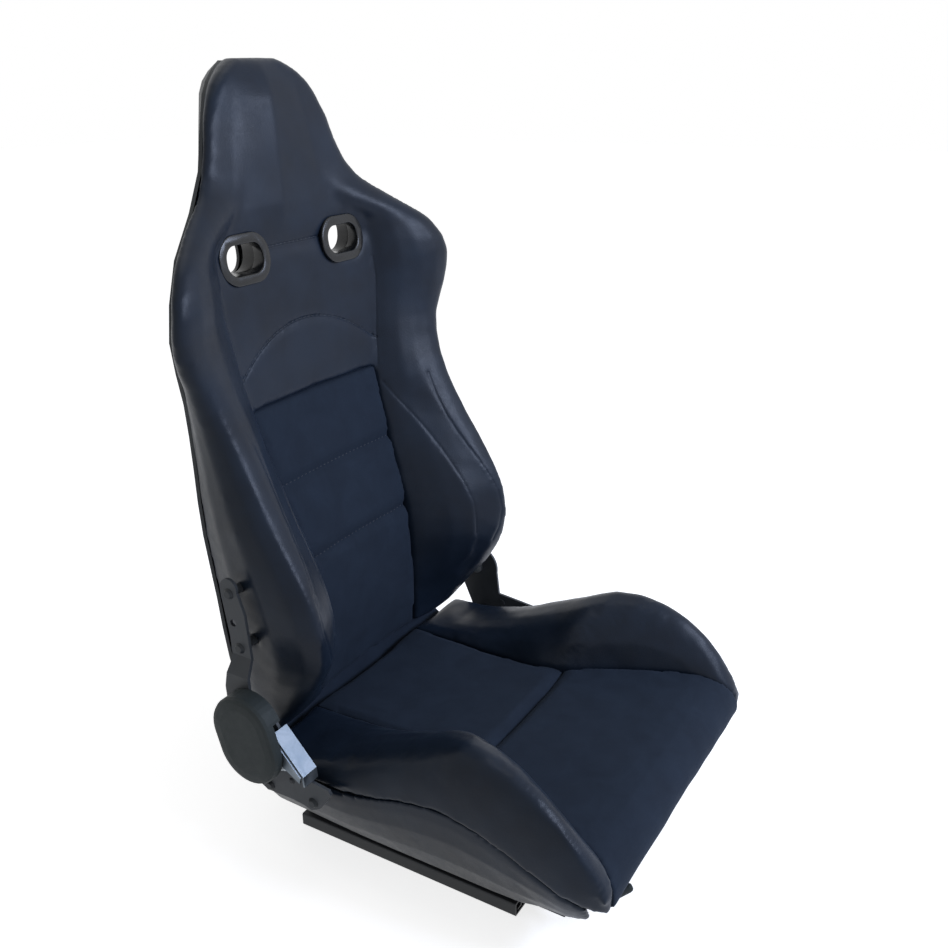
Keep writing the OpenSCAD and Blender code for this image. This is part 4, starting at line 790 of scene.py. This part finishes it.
def crease_cloth():
    """a strip of cover that runs from the cushion's rear edge down and up behind the backrest's foot"""
    shape = bmesh.new()
    folds = len(CREASE_PATH)
    bmesh.ops.create_grid(shape, x_segments=24, y_segments=folds - 1, size=1.0)
    for v in shape.verts:
        y, z = CREASE_PATH[round((v.co.y + 1) / 2 * (folds - 1))]
        v.co = Vector((v.co.x * CREASE_HALF * MM, y * MM, z * MM))
    bmesh.ops.recalc_face_normals(shape, faces=shape.faces)
    mesh = bpy.data.meshes.new("crease_cloth")
    shape.to_mesh(mesh)
    shape.free()
    smooth(mesh)
    mesh.materials.append(FINISH["suede_cloth"])
    piece = new_object("crease_cloth", mesh)
    thick = piece.modifiers.new("cloth", "SOLIDIFY")
    thick.thickness = CLOTH_THICK * MM
    thick.offset = 0
    finer = piece.modifiers.new("finer", "SUBSURF")
    finer.levels = finer.render_levels = 1
    baked(piece)
    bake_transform(piece)


crease_cloth()

# ---------------------------------------------------------------- elastic webbing


def strap(shape, half, width, thick, sag, place, turn=0.0):
    """one woven strap with rolled ends, along X and a little slack in the middle"""
    made = bmesh.ops.create_grid(shape, x_segments=26, y_segments=3, size=1.0)["verts"]
    for v in made:
        x = v.co.x
        slack = 1 - x * x
        rolled = thick * 0.4 if abs(x) > 0.955 else 0
        v.co = Vector((x * half, v.co.y * width / 2 * (1 - 0.05 * slack), rolled - sag * slack))
    faces = list({f for v in made for f in v.link_faces})
    thicker = bmesh.ops.solidify(shape, geom=faces, thickness=thick)
    verts = list(set(made) | {g for g in thicker["geom"] if isinstance(g, bmesh.types.BMVert)})
    bmesh.ops.rotate(shape, cent=(0, 0, 0), matrix=Matrix.Rotation(turn, 3, "X"), verts=verts)
    bmesh.ops.translate(shape, vec=place, verts=verts)


def webbing(name, node, body, places, half, width, sag, turn):
    """all the straps that stand for one node"""
    shape = bmesh.new()
    for place in places:
        strap(shape, half, width, CLOTH_THICK * MM, sag, place, turn)
    bmesh.ops.recalc_face_normals(shape, faces=shape.faces)
    finished(name, shape, "webbing_cloth", body, [node], soft=False)


SEAT_STRAP_Y = (-195, -130, -65, 0)
BACK_STRAP_Z = (232, 277, 322, 367)
FRAME_LEAN = 0.175        # how far the back frame leans, as a slope
low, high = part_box("seat_webbing")
webbing("seat_straps", "seat_webbing", SEAT,
        [Vector((0, y * MM, high[2] - 0.4 * MM)) for y in SEAT_STRAP_Y],
        high[0], 44 * MM, 1.2 * MM, 0.0)
low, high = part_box("back_webbing")
webbing("back_straps", "back_webbing", BACK,
        [Vector((0, (222 + (z - 170) * FRAME_LEAN) * MM, z * MM)) for z in BACK_STRAP_Z],
        high[0], 38 * MM, 0.8 * MM, math.pi / 2 - math.atan(FRAME_LEAN))

# ---------------------------------------------------------------- view

bpy.context.scene.view_settings.view_transform = "Standard"
